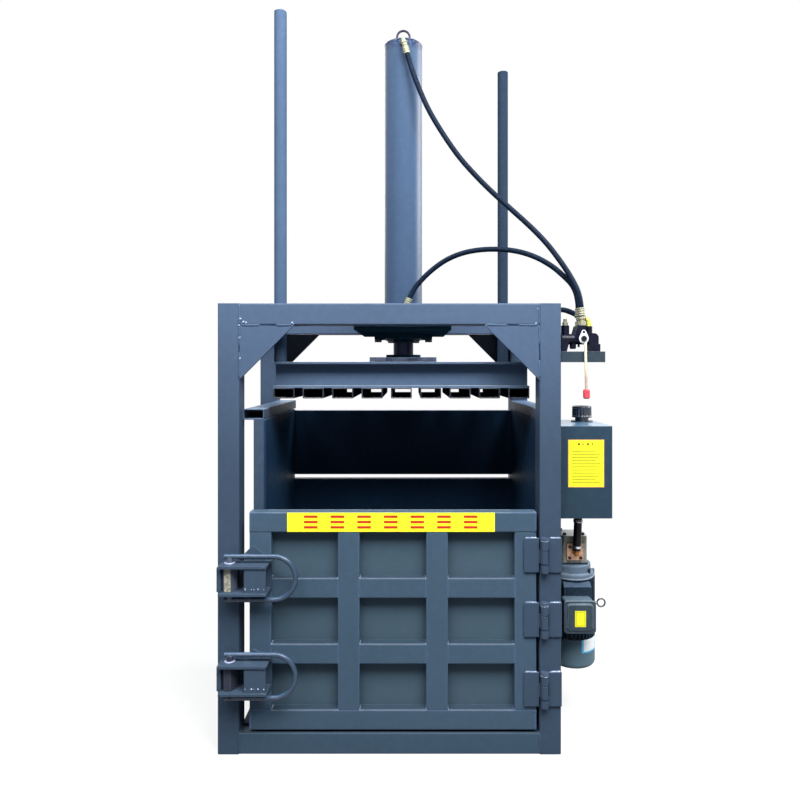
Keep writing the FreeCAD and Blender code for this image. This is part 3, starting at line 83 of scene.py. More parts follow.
class Finish:
    # one material and its node tree, with short calls for the nodes that the finishes share
    def __init__(self, name):
        self.material = bpy.data.materials.new(name)
        self.material.use_nodes = True
        self.tree = self.material.node_tree
        self.shader = self.tree.nodes["Principled BSDF"]
        self.coords = self.tree.nodes.new("ShaderNodeTexCoord").outputs["Object"]

    def node(self, kind, inputs=None, **values):
        made = self.tree.nodes.new(kind)
        for key, value in values.items():
            setattr(made, key, value)
        for key, value in (inputs or {}).items():
            self.feed(made.inputs[key], value)
        return made

    def feed(self, socket, value):
        if isinstance(value, bpy.types.NodeSocket):
            self.tree.links.new(value, socket)
        else:
            socket.default_value = value

    def noise(self, scale, detail=2.0, rough=0.5, stretch=None):
        place = self.coords
        if stretch:
            place = self.node("ShaderNodeMapping", {"Vector": place, "Scale": stretch}).outputs[0]
        made = self.node("ShaderNodeTexNoise", {"Vector": place, "Scale": scale,
                                                "Detail": detail, "Roughness": rough})
        return made.outputs["Fac"]

    def spread(self, value, low, high, toLow=0.0, toHigh=1.0):
        made = self.node("ShaderNodeMapRange", {"Value": value, "From Min": low, "From Max": high,
                                                "To Min": toLow, "To Max": toHigh})
        return made.outputs["Result"]

    def blend(self, share, first, second, mode="MIX"):
        made = self.node("ShaderNodeMix", data_type="RGBA", blend_type=mode)
        self.feed(made.inputs[0], share)
        self.feed(made.inputs[6], first)
        self.feed(made.inputs[7], second)
        return made.outputs[2]

    def maths(self, operation, first, second=0.5, third=0.5):
        made = self.node("ShaderNodeMath", operation=operation)
        for socket, value in zip(made.inputs, (first, second, third)):
            self.feed(socket, value)
        return made.outputs[0]

    def vectors(self, operation, first, second=(0.0, 0.0, 0.0)):
        made = self.node("ShaderNodeVectorMath", {0: first, 1: second}, operation=operation)
        return made.outputs

    def product(self, first, second):
        return self.maths("MULTIPLY", first, second)

    def dimmed(self, tone, share):
        # a tone multiplied by a share, which may be a number, a tone or a socket
        return self.blend(1.0, tone, share, "MULTIPLY")

    def roundedNormal(self, radius):
        return self.node("ShaderNodeBevel", {"Radius": radius}, samples=4).outputs[0]

    def trueNormal(self):
        return self.node("ShaderNodeNewGeometry").outputs["Normal"]

    def axis(self, vector, name):
        return self.node("ShaderNodeSeparateXYZ", {0: vector}).outputs[name]

    def step(self, name, place, before=0.0, after=1.0, width=0.001):
        # one value before a place along the X, Y or Z axis and another after it
        along = self.axis(self.coords, name)
        return self.spread(along, place, place + width, before, after)

    def edgeShare(self, rounded, low, high):
        # 0 on flat metal and 1 on a sharp edge, from how far the rounded normal leaves the true one
        dot = self.vectors("DOT_PRODUCT", rounded, self.trueNormal())["Value"]
        return self.spread(dot, high, low)

    def bump(self, height, strength, distance, normal=None):
        made = self.node("ShaderNodeBump", {"Height": height, "Strength": strength,
                                            "Distance": distance})
        if normal is not None:
            self.feed(made.inputs["Normal"], normal)
        self.feed(self.shader.inputs["Normal"], made.outputs[0])

    def set(self, **values):
        names = {"colour": "Base Color", "metal": "Metallic", "rough": "Roughness",
                 "coat": "Coat Weight", "coatRough": "Coat Roughness",
                 "specular": "Specular IOR Level"}
        for key, value in values.items():
            self.feed(self.shader.inputs[names[key]], value)
        return self.material


white = (1.0, 1.0, 1.0, 1.0)
farAway = 9.0  # a place beyond the whole machine, for a limit that never acts


def paintedSteel(name, tones, gloss=0.46, edge=0.0026, worn=0.55, shine=0.12,
                 ledge=1.0, ledgeTop=farAway, low=(0.80, 0.83, 0.80, 1.0), sheen=0.0,
                 sheenFrom=0.72, coatRough=0.14, across=(farAway, 1.0), behind=(farAway, 1.0),
                 plain=(farAway, farAway), glare=0.80, scuffed=farAway):
    # smooth paint over rough steel, with a painted highlight on its edges that is palest where
    # they look up:
    # - tones are the paint's own, the pale one of its painted edge highlight and the dark one
    #   of its clouds
    # - low is painted shade: it turns the tone down near the floor, where less light falls, and
    #   values above 1 paint light there instead
    # - across and behind are a place along X or Y, and how far the tone of faces that look to the
    #   front is turned down beyond it, for the shade that they stand in
    # - scuffed is the height above which the paint is burnt dark and flecked
    # - ledge is painted light on faces that look up when it is above 1, and painted shade on
    #   them when it is below 1, under the height ledgeTop
    # - edge is the width of a painted highlight on the edges, the argument after edge is its
    #   strength, and glare is how white it turns where the edges look up; no highlight shows
    #   between the two heights in plain
    # - gloss is the paint's roughness and shine the strength of its plain reflection
    # - sheen is the strength of a clear coat that shows at flat angles of view, from sheenFrom on,
    #   and coatRough is that coat's roughness
    finish = Finish(name)
    colour, pale, dark = [srgb(*tone) for tone in tones]
    clouds = finish.spread(finish.noise(1.6, 3.0, 0.5), 0.35, 0.68)
    mottle = finish.noise(38.0, 3.0, 0.6)
    tone = finish.blend(clouds, dark, colour)
    tone = finish.blend(finish.spread(mottle, 0.45, 0.75, 0.0, 0.10), tone, pale)
    # painted shade: the tone turns towards low below 1.6 m, and is all low from 1.1 m down
    height = finish.step("Z", 1.1, width=0.5)
    tone = finish.dimmed(tone, finish.blend(height, low, white))
    front = finish.spread(finish.axis(finish.trueNormal(), "Y"), -0.5, 0.1, 1.0, 0.0)
    for axis, (limit, share) in (("X", across), ("Y", behind)):
        cut = finish.product(finish.step(axis, limit - 0.005, 0.0, 1.0 - share, width=0.005), front)
        tone = finish.dimmed(tone, finish.maths("SUBTRACT", 1.0, cut))
    if scuffed < farAway:
        top = finish.step("Z", scuffed, width=0.028)
        burnt = finish.spread(finish.noise(55.0, 4.0, 0.65), 0.38, 0.52)
        tone = finish.blend(finish.product(burnt, top), tone, srgb(24, 36, 70))
        flecks = finish.spread(finish.noise(150.0, 3.0, 0.7), 0.60, 0.64, 0.0, 0.45)
        tone = finish.blend(finish.product(flecks, top), tone, srgb(150, 160, 168))
    # painted light (ledge above 1) and painted shade (ledge below 1) on faces that look up
    if ledge != 1.0:
        flat = finish.spread(finish.axis(finish.trueNormal(), "Z"), 0.5, 0.66, 1.0, ledge)
        tone = finish.blend(finish.step("Z", ledgeTop, 1.0, 0.0), tone, finish.dimmed(tone, flat))
    # painted highlight on the edges, whitest where they look up, and weaker beyond 0.46 m from the
    # middle
    rounded = finish.roundedNormal(edge)
    upward = finish.spread(finish.axis(rounded, "Z"), 0.25, 0.65)
    beside = finish.maths("ABSOLUTE", finish.axis(finish.coords, "X"))
    lit = finish.product(upward, finish.spread(beside, 0.45, 0.46, 1.0, 0.2))
    edgeTone = finish.blend(lit, pale, finish.blend(glare, pale, white))
    above, below = finish.step("Z", plain[0]), finish.step("Z", plain[1], 1.0, 0.0)
    edges = finish.product(finish.product(finish.edgeShare(rounded, 0.86, 0.994), worn),
                           finish.maths("SUBTRACT", 1.0, finish.product(above, below)))
    tone = finish.blend(edges, tone, edgeTone)
    peel = finish.maths("ADD", finish.product(finish.noise(420.0), 0.25), finish.noise(30.0))
    finish.bump(peel, 0.18, 0.0005, rounded)
    facing = finish.node("ShaderNodeLayerWeight", {"Blend": 0.5}).outputs["Facing"]
    finish.shader.inputs["Coat IOR"].default_value = 1.9
    rough = finish.spread(mottle, 0.3, 0.7, gloss - 0.05, gloss + 0.08)
    return finish.set(colour=tone, rough=rough, specular=shine, coatRough=coatRough,
                      coat=finish.spread(facing, sheenFrom, 0.88, 0.0, sheen))


# in this table, ledge above 1 is painted light on faces that look up (handles, wall rails, tank,
# fins, terminal box), and below 1 painted shade on them (door rails, base beams)
paints = {
    "slatePaint": {"tones": ((75, 92, 117), (104, 126, 158), (71, 88, 112)),
        "low": (0.70, 0.73, 0.70, 1.0)},
    "gussetPaint": {"tones": ((78, 95, 121), (104, 126, 158), (74, 91, 116)),
        "behind": (0.1, 0.03), "shine": 0.03},
    # painted light: paler than the frame's paint, against the shade of the top beam over the platen
    "platenPaint": {"tones": ((86, 106, 133), (118, 140, 172), (80, 100, 126))},
    "doorPaint": {"tones": ((78, 99, 121), (108, 134, 178), (73, 94, 115)), "ledge": 0.6,
        "worn": 0.95, "edge": 0.0060, "ledgeTop": 0.885, "plain": (0.809, 0.826), "glare": 0.42},
    "sheetPaint": {"tones": ((82, 102, 119), (104, 126, 158), (77, 97, 113))},
    "baseBeamPaint": {"tones": ((73, 94, 116), (108, 132, 164), (69, 90, 111)), "ledge": 0.5,
        "worn": 0.9, "edge": 0.004},
    "latchPaint": {"tones": ((74, 91, 114), (100, 118, 146), (69, 86, 108)), "worn": 0.15},
    "barrelPaint": {"tones": ((61, 80, 106), (98, 120, 150), (57, 75, 100)), "gloss": 0.50,
        "shine": 0.05, "sheen": 1.0, "sheenFrom": 0.20, "coatRough": 0.45, "scuffed": 2.744},
    "guidePaint": {"tones": ((74, 93, 119), (104, 126, 156), (68, 86, 111)), "gloss": 0.7,
        "shine": 0.0, "across": (0.3, 0.40)},
    "handlePaint": {"tones": ((62, 83, 112), (108, 132, 168), (54, 74, 100)), "gloss": 0.24,
        "shine": 0.5, "ledge": 1.6},
    "railPaint": {"tones": ((67, 83, 106), (118, 138, 164), (61, 77, 98)), "ledge": 2.8},
    # painted shade: darker and bluer than the frame's paint, for the shade inside the chamber
    "innerPaint": {"tones": ((32, 58, 87), (64, 90, 122), (27, 50, 77)), "shine": 0.05},
    "shadePaint": {"tones": ((44, 78, 92), (80, 104, 124), (34, 64, 78)), "shine": 0.0},
    # painted shade: near black for the shade under the platen, with a pale painted highlight on the
    # edges
    "feetPaint": {"tones": ((16, 22, 38), (150, 160, 172), (10, 14, 28)), "worn": 0.8,
        "edge": 0.0016, "shine": 0.0},
    # painted light: low above 1 makes the brackets lighter low down
    "bracketPaint": {"tones": ((52, 64, 73), (84, 100, 112), (46, 58, 67)),
        "low": (1.1, 1.05, 1.2, 1.0)},
    "loopPaint": {"tones": ((50, 48, 68), (96, 90, 112), (36, 36, 54))},
    "camPaint": {"tones": ((70, 75, 92), (128, 130, 140), (56, 60, 75)), "worn": 0.9},
    "tankPaint": {"tones": ((53, 74, 93), (88, 112, 138), (49, 69, 87)), "gloss": 0.34,
        "sheen": 1.0, "ledge": 6.0},
    "finPaint": {"tones": ((42, 58, 78), (100, 120, 142), (35, 50, 68)), "edge": 0.0014,
        "worn": 0.6, "ledge": 2.2},
    "boxPaint": {"tones": ((70, 84, 98), (146, 164, 180), (61, 74, 87)), "edge": 0.004,
        "worn": 0.95, "ledge": 1.8},
    "shieldPaint": {"tones": ((126, 143, 166), (186, 198, 216), (110, 127, 149)), "edge": 0.002,
        "worn": 0.9},
    "weldPaint": {"tones": ((76, 98, 126), (136, 160, 194), (60, 80, 104)), "gloss": 0.36,
        "edge": 0.0006},
    # painted light: paler than the motor's paint, against the shade under the terminal box
    "cowlPaint": {"tones": ((108, 132, 150), (140, 160, 174), (101, 125, 142))},
}


def workedSteel(name, tones, rough, scale=90.0, metal=1.0, stretch=None, shine=0.5):
    # bare or plated metal: stained tone, fine tool marks, small changes of polish
    finish = Finish(name)
    colour, stain = [srgb(*tone) for tone in tones]
    marks = finish.noise(scale, 3.0, 0.6, stretch)
    patches = finish.noise(24.0, 3.0, 0.55)
    tone = finish.blend(finish.spread(patches, 0.42, 0.66, 0.0, 0.7), colour, stain)
    finish.bump(marks, 0.18, 0.0003, finish.roundedNormal(0.0008))
    polish = finish.spread(marks, 0.3, 0.7, rough - 0.05, rough + 0.1)
    return finish.set(colour=tone, metal=metal, rough=polish, specular=shine)


metals = {
    # painted shade: the rod is dark navy for the shade it stands in, a painted reflection of the
    # dark around it
    "platedRod": {"tones": ((16, 24, 50), (10, 15, 36)), "rough": 0.30, "scale": 60.0,
        "metal": 0.7, "stretch": (1, 1, 6)},
    "bareSteel": {"tones": ((176, 180, 186), (132, 130, 128)), "rough": 0.38},
    # pale steel, made paler still to stand for light in the shade under the mount plate: partly
    # painted light
    "seatSteel": {"tones": ((186, 204, 240), (132, 150, 190)), "rough": 0.42, "metal": 0.4},
    "eyeSteel": {"tones": ((96, 100, 112), (60, 62, 72)), "rough": 0.30, "scale": 300.0,
        "metal": 0.7},
    "blackSteel": {"tones": ((30, 33, 44), (48, 50, 58)), "rough": 0.40, "metal": 0.5},
    "paleZinc": {"tones": ((150, 150, 128), (108, 106, 84)), "rough": 0.46, "metal": 0.2},
    "castBlack": {"tones": ((6, 9, 26), (14, 19, 44)), "rough": 0.30, "scale": 320.0,
        "metal": 0.0, "shine": 0.22},
    "scaleWeld": {"tones": ((30, 44, 78), (128, 134, 132)), "rough": 0.50, "scale": 200.0,
        "metal": 0.0},
    "washerSteel": {"tones": ((190, 198, 232), (120, 130, 166)), "rough": 0.34, "scale": 200.0,
        "metal": 0.3},
}


def spottedFinish(name, tones, share, rough, metal):
    # plated metal with one part in another tone; share says where that part is, as the values of
    # a step along one axis or as a function that builds the mask
    finish = Finish(name)
    colour, stain, spotTone = [srgb(*tone) for tone in tones]
    patches = finish.spread(finish.noise(90.0, 3.0, 0.55), 0.42, 0.66, 0.0, 0.7)
    mask = share(finish) if callable(share) else finish.step(*share)
    tone = finish.blend(mask, finish.blend(patches, colour, stain), spotTone)
    finish.bump(finish.noise(300.0), 0.15, 0.0002, finish.roundedNormal(0.0008))
    polish = finish.spread(patches, 0.0, 0.7, rough, rough + 0.1)
    return finish.set(colour=tone, metal=metal, rough=polish)


def nutShare(finish):
    # the round nut in the middle of the lever's plate
    away = finish.vectors("SUBTRACT", finish.coords, (0.718, -0.36, 1.530))[0]
    level = finish.vectors("MULTIPLY", away, (1.0, 0.0, 1.0))[0]
    return finish.spread(finish.vectors("LENGTH", level)["Value"], 0.0104, 0.0112, 1.0, 0.0)


# the other tone is on the lever's nut, on what stands out in front of the inlet's flange, on the
# pump's top, a machined face made near white as painted light from above, and on the left end of
# the supply union
spotted = {
    "brightChrome": {"tones": ((240, 242, 246), (220, 224, 232), (24, 26, 36)),
        "share": nutShare, "rough": 0.24, "metal": 0.4},
    "inletBrass": {"tones": ((252, 200, 164), (226, 164, 124), (176, 116, 56)),
        "share": ("Y", -0.1805, 1.0, 0.0), "rough": 0.32, "metal": 0.25},
    "pumpAlloy": {"tones": ((160, 160, 148), (122, 122, 114), (246, 248, 250)),
        "share": ("Z", 0.7485), "rough": 0.42, "metal": 0.1},
    "yellowZinc": {"tones": ((236, 240, 118), (198, 198, 78), (150, 104, 34)),
        "share": ("X", 0.750, 1.0, 0.0, 0.002), "rough": 0.36, "metal": 0.3},
}


def wornCam():
    # paint rubbed off the cam's flat front, down to stained cream metal
    finish = Finish("wornCam")
    front = finish.step("Y", -0.4316, 1.0, 0.0, width=0.0008)
    spots = finish.spread(finish.noise(150.0, 4.0, 0.7), 0.46, 0.56)
    bare = finish.blend(spots, srgb(184, 180, 160), srgb(118, 116, 106))
    tone = finish.blend(front, srgb(84, 92, 108), bare)
    finish.bump(spots, 0.2, 0.0003, finish.roundedNormal(0.0012))
    return finish.set(colour=tone, rough=finish.spread(spots, 0.0, 1.0, 0.42, 0.6))


def leverFinish():
    # cream paint on the lever's rod, which turns pinkish towards the knob
    finish = Finish("creamPaint")
    low = finish.spread(finish.axis(finish.coords, "Z"), 1.44, 1.38)
    stains = finish.spread(finish.noise(120.0, 3.0), 0.45, 0.7, 0.0, 0.6)
    tone = finish.blend(stains, srgb(236, 234, 204), srgb(198, 194, 162))
    tone = finish.blend(low, tone, srgb(190, 164, 150))
    finish.bump(finish.noise(300.0), 0.15, 0.0002, finish.roundedNormal(0.0008))
    return finish.set(colour=tone, rough=finish.spread(stains, 0.0, 0.6, 0.34, 0.48))


def speckledWeld():
    # freshly ground weld: bluish white grains among thin blue paint
    finish = Finish("brightWeld")
    grains = finish.spread(finish.noise(240.0, 3.0, 0.7), 0.47, 0.58)
    tone = finish.blend(grains, srgb(84, 106, 142), srgb(200, 212, 236))
    finish.bump(grains, 0.5, 0.0006)
    return finish.set(colour=tone, rough=finish.spread(grains, 0.0, 1.0, 0.5, 0.34), metal=0.1)


def mouldedPlastic(name, tones, rough, shine=0.5):
    # rubber, plastic or print: two close tones in patches, and a fine grain
    finish = Finish(name)
    colour, shade = [srgb(*tone) for tone in tones]
    patches = finish.noise(60.0, 3.0, 0.5)
    tone = finish.blend(finish.spread(patches, 0.4, 0.7), colour, shade)
    finish.bump(finish.noise(700.0, 2.0), 0.12, 0.0002, finish.roundedNormal(0.0006))
    rough = finish.spread(patches, 0.3, 0.7, rough - 0.04, rough + 0.06)
    return finish.set(colour=tone, rough=rough, specular=shine)


plastics = {
    "hoseRubber": {"tones": ((14, 30, 50), (9, 20, 36)), "rough": 0.50, "shine": 0.08},
    "blackRubber": {"tones": ((16, 17, 22), (24, 25, 30)), "rough": 0.40, "shine": 0.2},
    "knobPlastic": {"tones": ((214, 78, 90), (200, 60, 76)), "rough": 0.28},
    "capPlastic": {"tones": ((30, 42, 58), (20, 30, 44)), "rough": 0.24, "shine": 1.0},
    "labelYellow": {"tones": ((255, 252, 44), (255, 248, 34)), "rough": 0.50},
    "labelOrange": {"tones": ((244, 176, 104), (236, 160, 88)), "rough": 0.50},
    "labelOlive": {"tones": ((158, 152, 30), (180, 174, 34)), "rough": 0.50},
    "labelBlack": {"tones": ((38, 42, 20), (60, 60, 24)), "rough": 0.50},
    "labelRed": {"tones": ((206, 44, 20), (192, 36, 14)), "rough": 0.50},
    "labelWhite": {"tones": ((252, 255, 255), (244, 252, 255)), "rough": 0.40},
    "labelBlue": {"tones": ((92, 204, 246), (66, 186, 238)), "rough": 0.40},
    "gapShade": {"tones": ((30, 46, 78), (22, 36, 64)), "rough": 0.60, "shine": 0.1},
}
finishMakers = ((paintedSteel, paints), (workedSteel, metals), (spottedFinish, spotted),
                (mouldedPlastic, plastics))
finishes = {name: make(name, **settings) for make, table in finishMakers
            for name, settings in table.items()}
finishes.update(wornCam=wornCam(), creamPaint=leverFinish(), brightWeld=speckledWeld())

nodeFinishes = {
    "slatePaint": ["frame_posts", "top_beams", "hinge_frame_leaves", "hinge_pins",
                   "keeper_plates", "guide_sleeves", "door_hinge_leaves"],
    "gussetPaint": ["corner_gussets"],
    "platenPaint": ["platen_channels"],
    "sheetPaint": ["door_sheet"],
    "latchPaint": ["latch_housings"],
    "doorPaint": ["door_frame_tubes"],
    "baseBeamPaint": ["base_beams"],
    "barrelPaint": ["cylinder_barrel", "cylinder_head"],
    "guidePaint": ["guide_rods"],
    "handlePaint": ["upper_latch_handle", "lower_latch_handle"],
    "innerPaint": ["floor_plate", "wall_plates", "back_panels"],
    "railPaint": ["wall_tubes"],
    "shadePaint": ["cylinder_mount_plate", "cylinder_flange", "rod_flange", "rod_gland"],
    "feetPaint": ["platen_feet"],
    "bracketPaint": ["side_brackets"],
    "loopPaint": ["lifting_loop"],
    "seatSteel": ["seat_plate"],
    "camPaint": ["lower_latch_cam"],
    "wornCam": ["upper_latch_cam"],
    "tankPaint": ["oil_tank"],
    "finPaint": ["motor_housing"],
    "boxPaint": ["terminal_box"],
    "shieldPaint": ["motor_end_shield"],
    "cowlPaint": ["fan_cowl"],
    "platedRod": ["piston_rod"],
    "bareSteel": ["piston", "motor_rotor", "hose_clamps"],
    "eyeSteel": ["motor_eye"],
    "blackSteel": ["flange_bolts", "unit_bolts"],
    "castBlack": ["valve_body"],
    "paleZinc": ["valve_unions", "port_elbows", "hose_ferrules"],
    "yellowZinc": ["supply_union"],
    "hoseRubber": ["upper_hose", "lower_hose", "supply_hose"],
    "blackRubber": ["suction_hose"],
    "pumpAlloy": ["pump_body"],
    "inletBrass": ["pump_inlet"],
    "brightChrome": ["lever_plate"],
    "creamPaint": ["lever_rod"],
    "knobPlastic": ["lever_knob"],
    "capPlastic": ["filler_cap", "filler_neck"],
}
for finish, names in nodeFinishes.items():
    for name in names:
        slots = nodes[name].data.materials
        slots.clear()
        slots.append(finishes[finish])
print("finishes on", sum(len(names) for names in nodeFinishes.values()), "nodes")

# hydraulic hoses: the points of each route as (across, depth, height)
hoseSettings = {"radius": 0.0105, "order": 3, "smoothness": 10, "roundness": 5}
hoses = {
    "upperHose": {
        "replaces": "upper_hose", "length": 1.282,
        "route": [(0.0648, 0.2545, 2.7044), (0.0819, 0.2545, 2.6448), (0.117, 0.244, 2.547),
                  (0.155, 0.235, 2.459), (0.214, 0.225, 2.358), (0.272, 0.212, 2.269),
                  (0.330, 0.200, 2.199), (0.392, 0.186, 2.130), (0.468, 0.168, 2.054),
                  (0.540, 0.147, 1.982), (0.604, 0.124, 1.908), (0.656, 0.099, 1.828),
                  (0.690, 0.079, 1.765), (0.7166, 0.058, 1.6986), (0.7210, 0.058, 1.6488)]},
    "lowerHose": {
        "replaces": "lower_hose", "length": 0.862,
        "route": [(0.0738, 0.2545, 1.7053), (0.0911, 0.2545, 1.7424), (0.118, 0.251, 1.775),
                  (0.158, 0.245, 1.815), (0.223, 0.234, 1.862), (0.300, 0.214, 1.889),
                  (0.389, 0.190, 1.896), (0.483, 0.163, 1.886), (0.560, 0.140, 1.859),
                  (0.626, 0.121, 1.817), (0.667, 0.109, 1.777), (0.699, 0.097, 1.741),
                  (0.7163, 0.087, 1.6929), (0.7186, 0.087, 1.6489)]},
    "supplyHose": {
        "replaces": "supply_hose", "length": 1.119,
        "route": [(0.7264, 0.1400, 1.6287), (0.7016, 0.1724, 1.6476), (0.681, 0.216, 1.657),
                  (0.668, 0.266, 1.657), (0.662, 0.315, 1.642), (0.662, 0.354, 1.611),
                  (0.664, 0.381, 1.567), (0.666, 0.396, 1.509), (0.668, 0.402, 1.434),
                  (0.670, 0.405, 1.340), (0.671, 0.405, 1.230), (0.671, 0.405, 1.115),
                  (0.670, 0.403, 1.010), (0.668, 0.396, 0.920), (0.669, 0.385, 0.856),
                  (0.6742, 0.3686, 0.8086), (0.6858, 0.3425, 0.7581)]},
}


def layHose(name, hose, settings):
    points = np.array(hose["route"]) + (0, frontY, 0)
    curve = bpy.data.curves.new(name, "CURVE")
    curve.dimensions = "3D"
    spline = curve.splines.new("NURBS")
    spline.points.add(len(points) - 1)
    spline.points.foreach_set("co", np.hstack([points, np.ones((len(points), 1))]).ravel())
    spline.order_u = settings["order"]
    spline.use_endpoint_u = True
    spline.resolution_u = settings["smoothness"]
    curve.bevel_depth = settings["radius"]
    curve.bevel_resolution = settings["roundness"]
    curve.use_fill_caps = True
    curve.materials.append(finishes["hoseRubber"])
    piece = bpy.data.objects.new(name, curve)
    bpy.context.collection.objects.link(piece)
    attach(piece, "frame")
    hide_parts(hose["replaces"])
    return points


hosePoints = {name: layHose(name, hose, hoseSettings) for name, hose in hoses.items()}
print("hoses laid:", len(hosePoints))


def gridFaces(rows, columns, wrapRows=False, wrapColumns=False, start=0):
    # quads between neighbouring rows and columns of a grid of points, wrapped round where asked
    row = np.arange(rows if wrapRows else rows - 1)[:, None]
    column = np.arange(columns if wrapColumns else columns - 1)[None, :]
    nextRow = (row + 1) % rows
    nextColumn = (column + 1) % columns
    corners = [row * columns + column, row * columns + nextColumn,
               nextRow * columns + nextColumn, nextRow * columns + column]
    return np.stack([np.broadcast_to(c, (len(row), column.shape[1])) for c in corners],
                    axis=-1).reshape(-1, 4) + start


def addMesh(name, points, faces, numbers, finishNames, body, joined):
    # numbers says which finish each face has; a joined mesh is smooth and its points are merged
    mesh = bpy.data.meshes.new(name)
    mesh.from_pydata(points.tolist(), [], faces)
    mesh.polygons.foreach_set("material_index", numbers)
    mesh.polygons.foreach_set("use_smooth", np.full(len(faces), joined))
    for finish in finishNames:
        mesh.materials.append(finishes[finish])
    shape = bmesh.new()
    shape.from_mesh(mesh)
    if joined:
        bmesh.ops.remove_doubles(shape, verts=shape.verts, dist=1e-6)
    bmesh.ops.recalc_face_normals(shape, faces=shape.faces)
    shape.to_mesh(mesh)
    shape.free()
    piece = bpy.data.objects.new(name, mesh)
    bpy.context.collection.objects.link(piece)
    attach(piece, body)
    return piece


def makePiece(name, surfaces, body, finishName, replaced=None):
    # surfaces are (points as rows x columns x 3, wrap rows, wrap columns)
    points, faces, start = [], [], 0
    for grid, wrapRows, wrapColumns in surfaces:
        rows, columns = grid.shape[:2]
        points.append(grid.reshape(-1, 3))
        faces += gridFaces(rows, columns, wrapRows, wrapColumns, start).tolist()
        start += rows * columns
    piece = addMesh(name, np.concatenate(points), faces, np.zeros(len(faces), int), [finishName],
                    body, joined=True)
    if replaced:
        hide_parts(replaced)


def sideAxes(direction):
    # two unit vectors at right angles to a direction and to each other
    direction = np.asarray(direction, float) / np.linalg.norm(direction)
    helper = np.array([0.0, 0, 1]) if abs(direction[2]) < 0.9 else np.array([1.0, 0, 0])
    side = np.cross(helper, direction)
    side /= np.linalg.norm(side)
    return side, np.cross(direction, side)


def turned(start, direction, profile, around=32, ripple=None):
    # a lathe shape: each row of the profile is a distance along the axis and a radius, and ripple
    # multiplies the radius by a function of the angle and the row
    direction = np.asarray(direction, float) / np.linalg.norm(direction)
    side, up = sideAxes(direction)
    profile = np.asarray(profile, float)
    angle = np.linspace(0, 2 * math.pi, around, endpoint=False)[None, :, None]
    along = profile[:, 0][:, None, None]
    radius = profile[:, 1][:, None, None]
    if ripple is not None:
        radius = radius * ripple(angle, along)
    points = start + direction * along + radius * (np.cos(angle) * side + np.sin(angle) * up)
    return points, False, True


# crimped ferrules on the hoses: rows of distance along the axis and radius
ferruleSettings = {"length": 0.046, "around": 36, "profile": [
    (0.000, 0.0), (0.000, 0.0100), (0.0010, 0.0112), (0.0105, 0.0112), (0.0120, 0.0099),
    (0.0140, 0.0099), (0.0150, 0.0132), (0.0185, 0.0137), (0.0200, 0.0126), (0.0225, 0.0126),
    (0.0240, 0.0135), (0.0275, 0.0135), (0.0290, 0.0126), (0.0315, 0.0126), (0.0330, 0.0135),
    (0.0365, 0.0135), (0.0380, 0.0126), (0.0400, 0.0126), (0.0415, 0.0136), (0.0455, 0.0136),
    (0.0460, 0.0128), (0.0460, 0.0)]}


def crimped(angle, along):
    # eight flats pressed into the collar, and twelve corners on the nut end
    collar = 1.0 - 0.035 * np.clip(np.cos(8 * angle), 0, 1)
    nut = 0.955 + 0.045 * np.cos(6 * angle) ** 2
    return np.where(along > 0.0145, collar, nut)


def makeFerrules(settings):
    surfaces = []
    for points in hosePoints.values():
        for end, inner in ((points[0], points[1]), (points[-1], points[-2])):
            outward = (inner - end) / np.linalg.norm(inner - end)
            start = end - outward * settings["length"]
            surfaces.append(turned(start, outward, settings["profile"], settings["around"],
                                   crimped))
    makePiece("crimpedFerrules", surfaces, "frame", "paleZinc", "hose_ferrules")


makeFerrules(ferruleSettings)

capLow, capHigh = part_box("filler_cap")
capSettings = {"ribs": 20, "ribDepth": 0.055, "around": 160, "rows": 57, "rim": 0.003,
               "radius": (capHigh.x - capLow.x) / 2, "high": capHigh.z - capLow.z,
               "boreShare": 0.70, "boreHigh": 0.0172}


def makeCap(settings):
    radius, high, rim = settings["radius"], settings["high"], settings["rim"]
    bore = radius * settings["boreShare"]
    profile = [(0, bore), (0, radius - 0.001), (0.001, radius), (0.006, radius),
               (0.007, radius * 0.985), (high * 0.45, radius * 0.98),
               (high - 0.010, radius * 0.975), (high - 0.009, radius * 0.985),
               (high - rim, radius * 0.985),
               (high - 0.001, radius * 0.93), (high, radius * 0.88), (high - 0.0015, radius * 0.80),
               (high - 0.0015, radius * 0.30), (high, radius * 0.26), (high, 0.0)]

    def ribbed(angle, along):
        # upright ribs on the cap's side, which fade out at its lower rim and its top
        below, above = (along - 0.0065) / 0.001, (high - 0.0095 - along) / 0.001
        share = np.clip(below, 0, 1) * np.clip(above, 0, 1)
        return 1.0 - settings["ribDepth"] * share * (0.5 - 0.5 * np.cos(settings["ribs"] * angle))

    # the profile cut into evenly numbered rows, so the ribs have points to fade out over
    steps = np.array(profile)
    row = np.linspace(0, len(steps) - 1, settings["rows"])
    fine = np.stack([np.interp(row, np.arange(len(steps)), column) for column in steps.T], axis=1)
    centre = np.array([(capLow.x + capHigh.x) / 2, (capLow.y + capHigh.y) / 2, capLow.z])
    inside = [(0, bore), (settings["boreHigh"], bore), (settings["boreHigh"], 0.0)]
    surfaces = [turned(centre, (0, 0, 1), fine, settings["around"], ribbed),
                turned(centre, (0, 0, 1), inside, settings["around"])]
    makePiece("ribbedCap", surfaces, "cap", "capPlastic", "filler_cap")


makeCap(capSettings)

# labels: fields of plain colour on thin sheets
labelThick = 0.0004


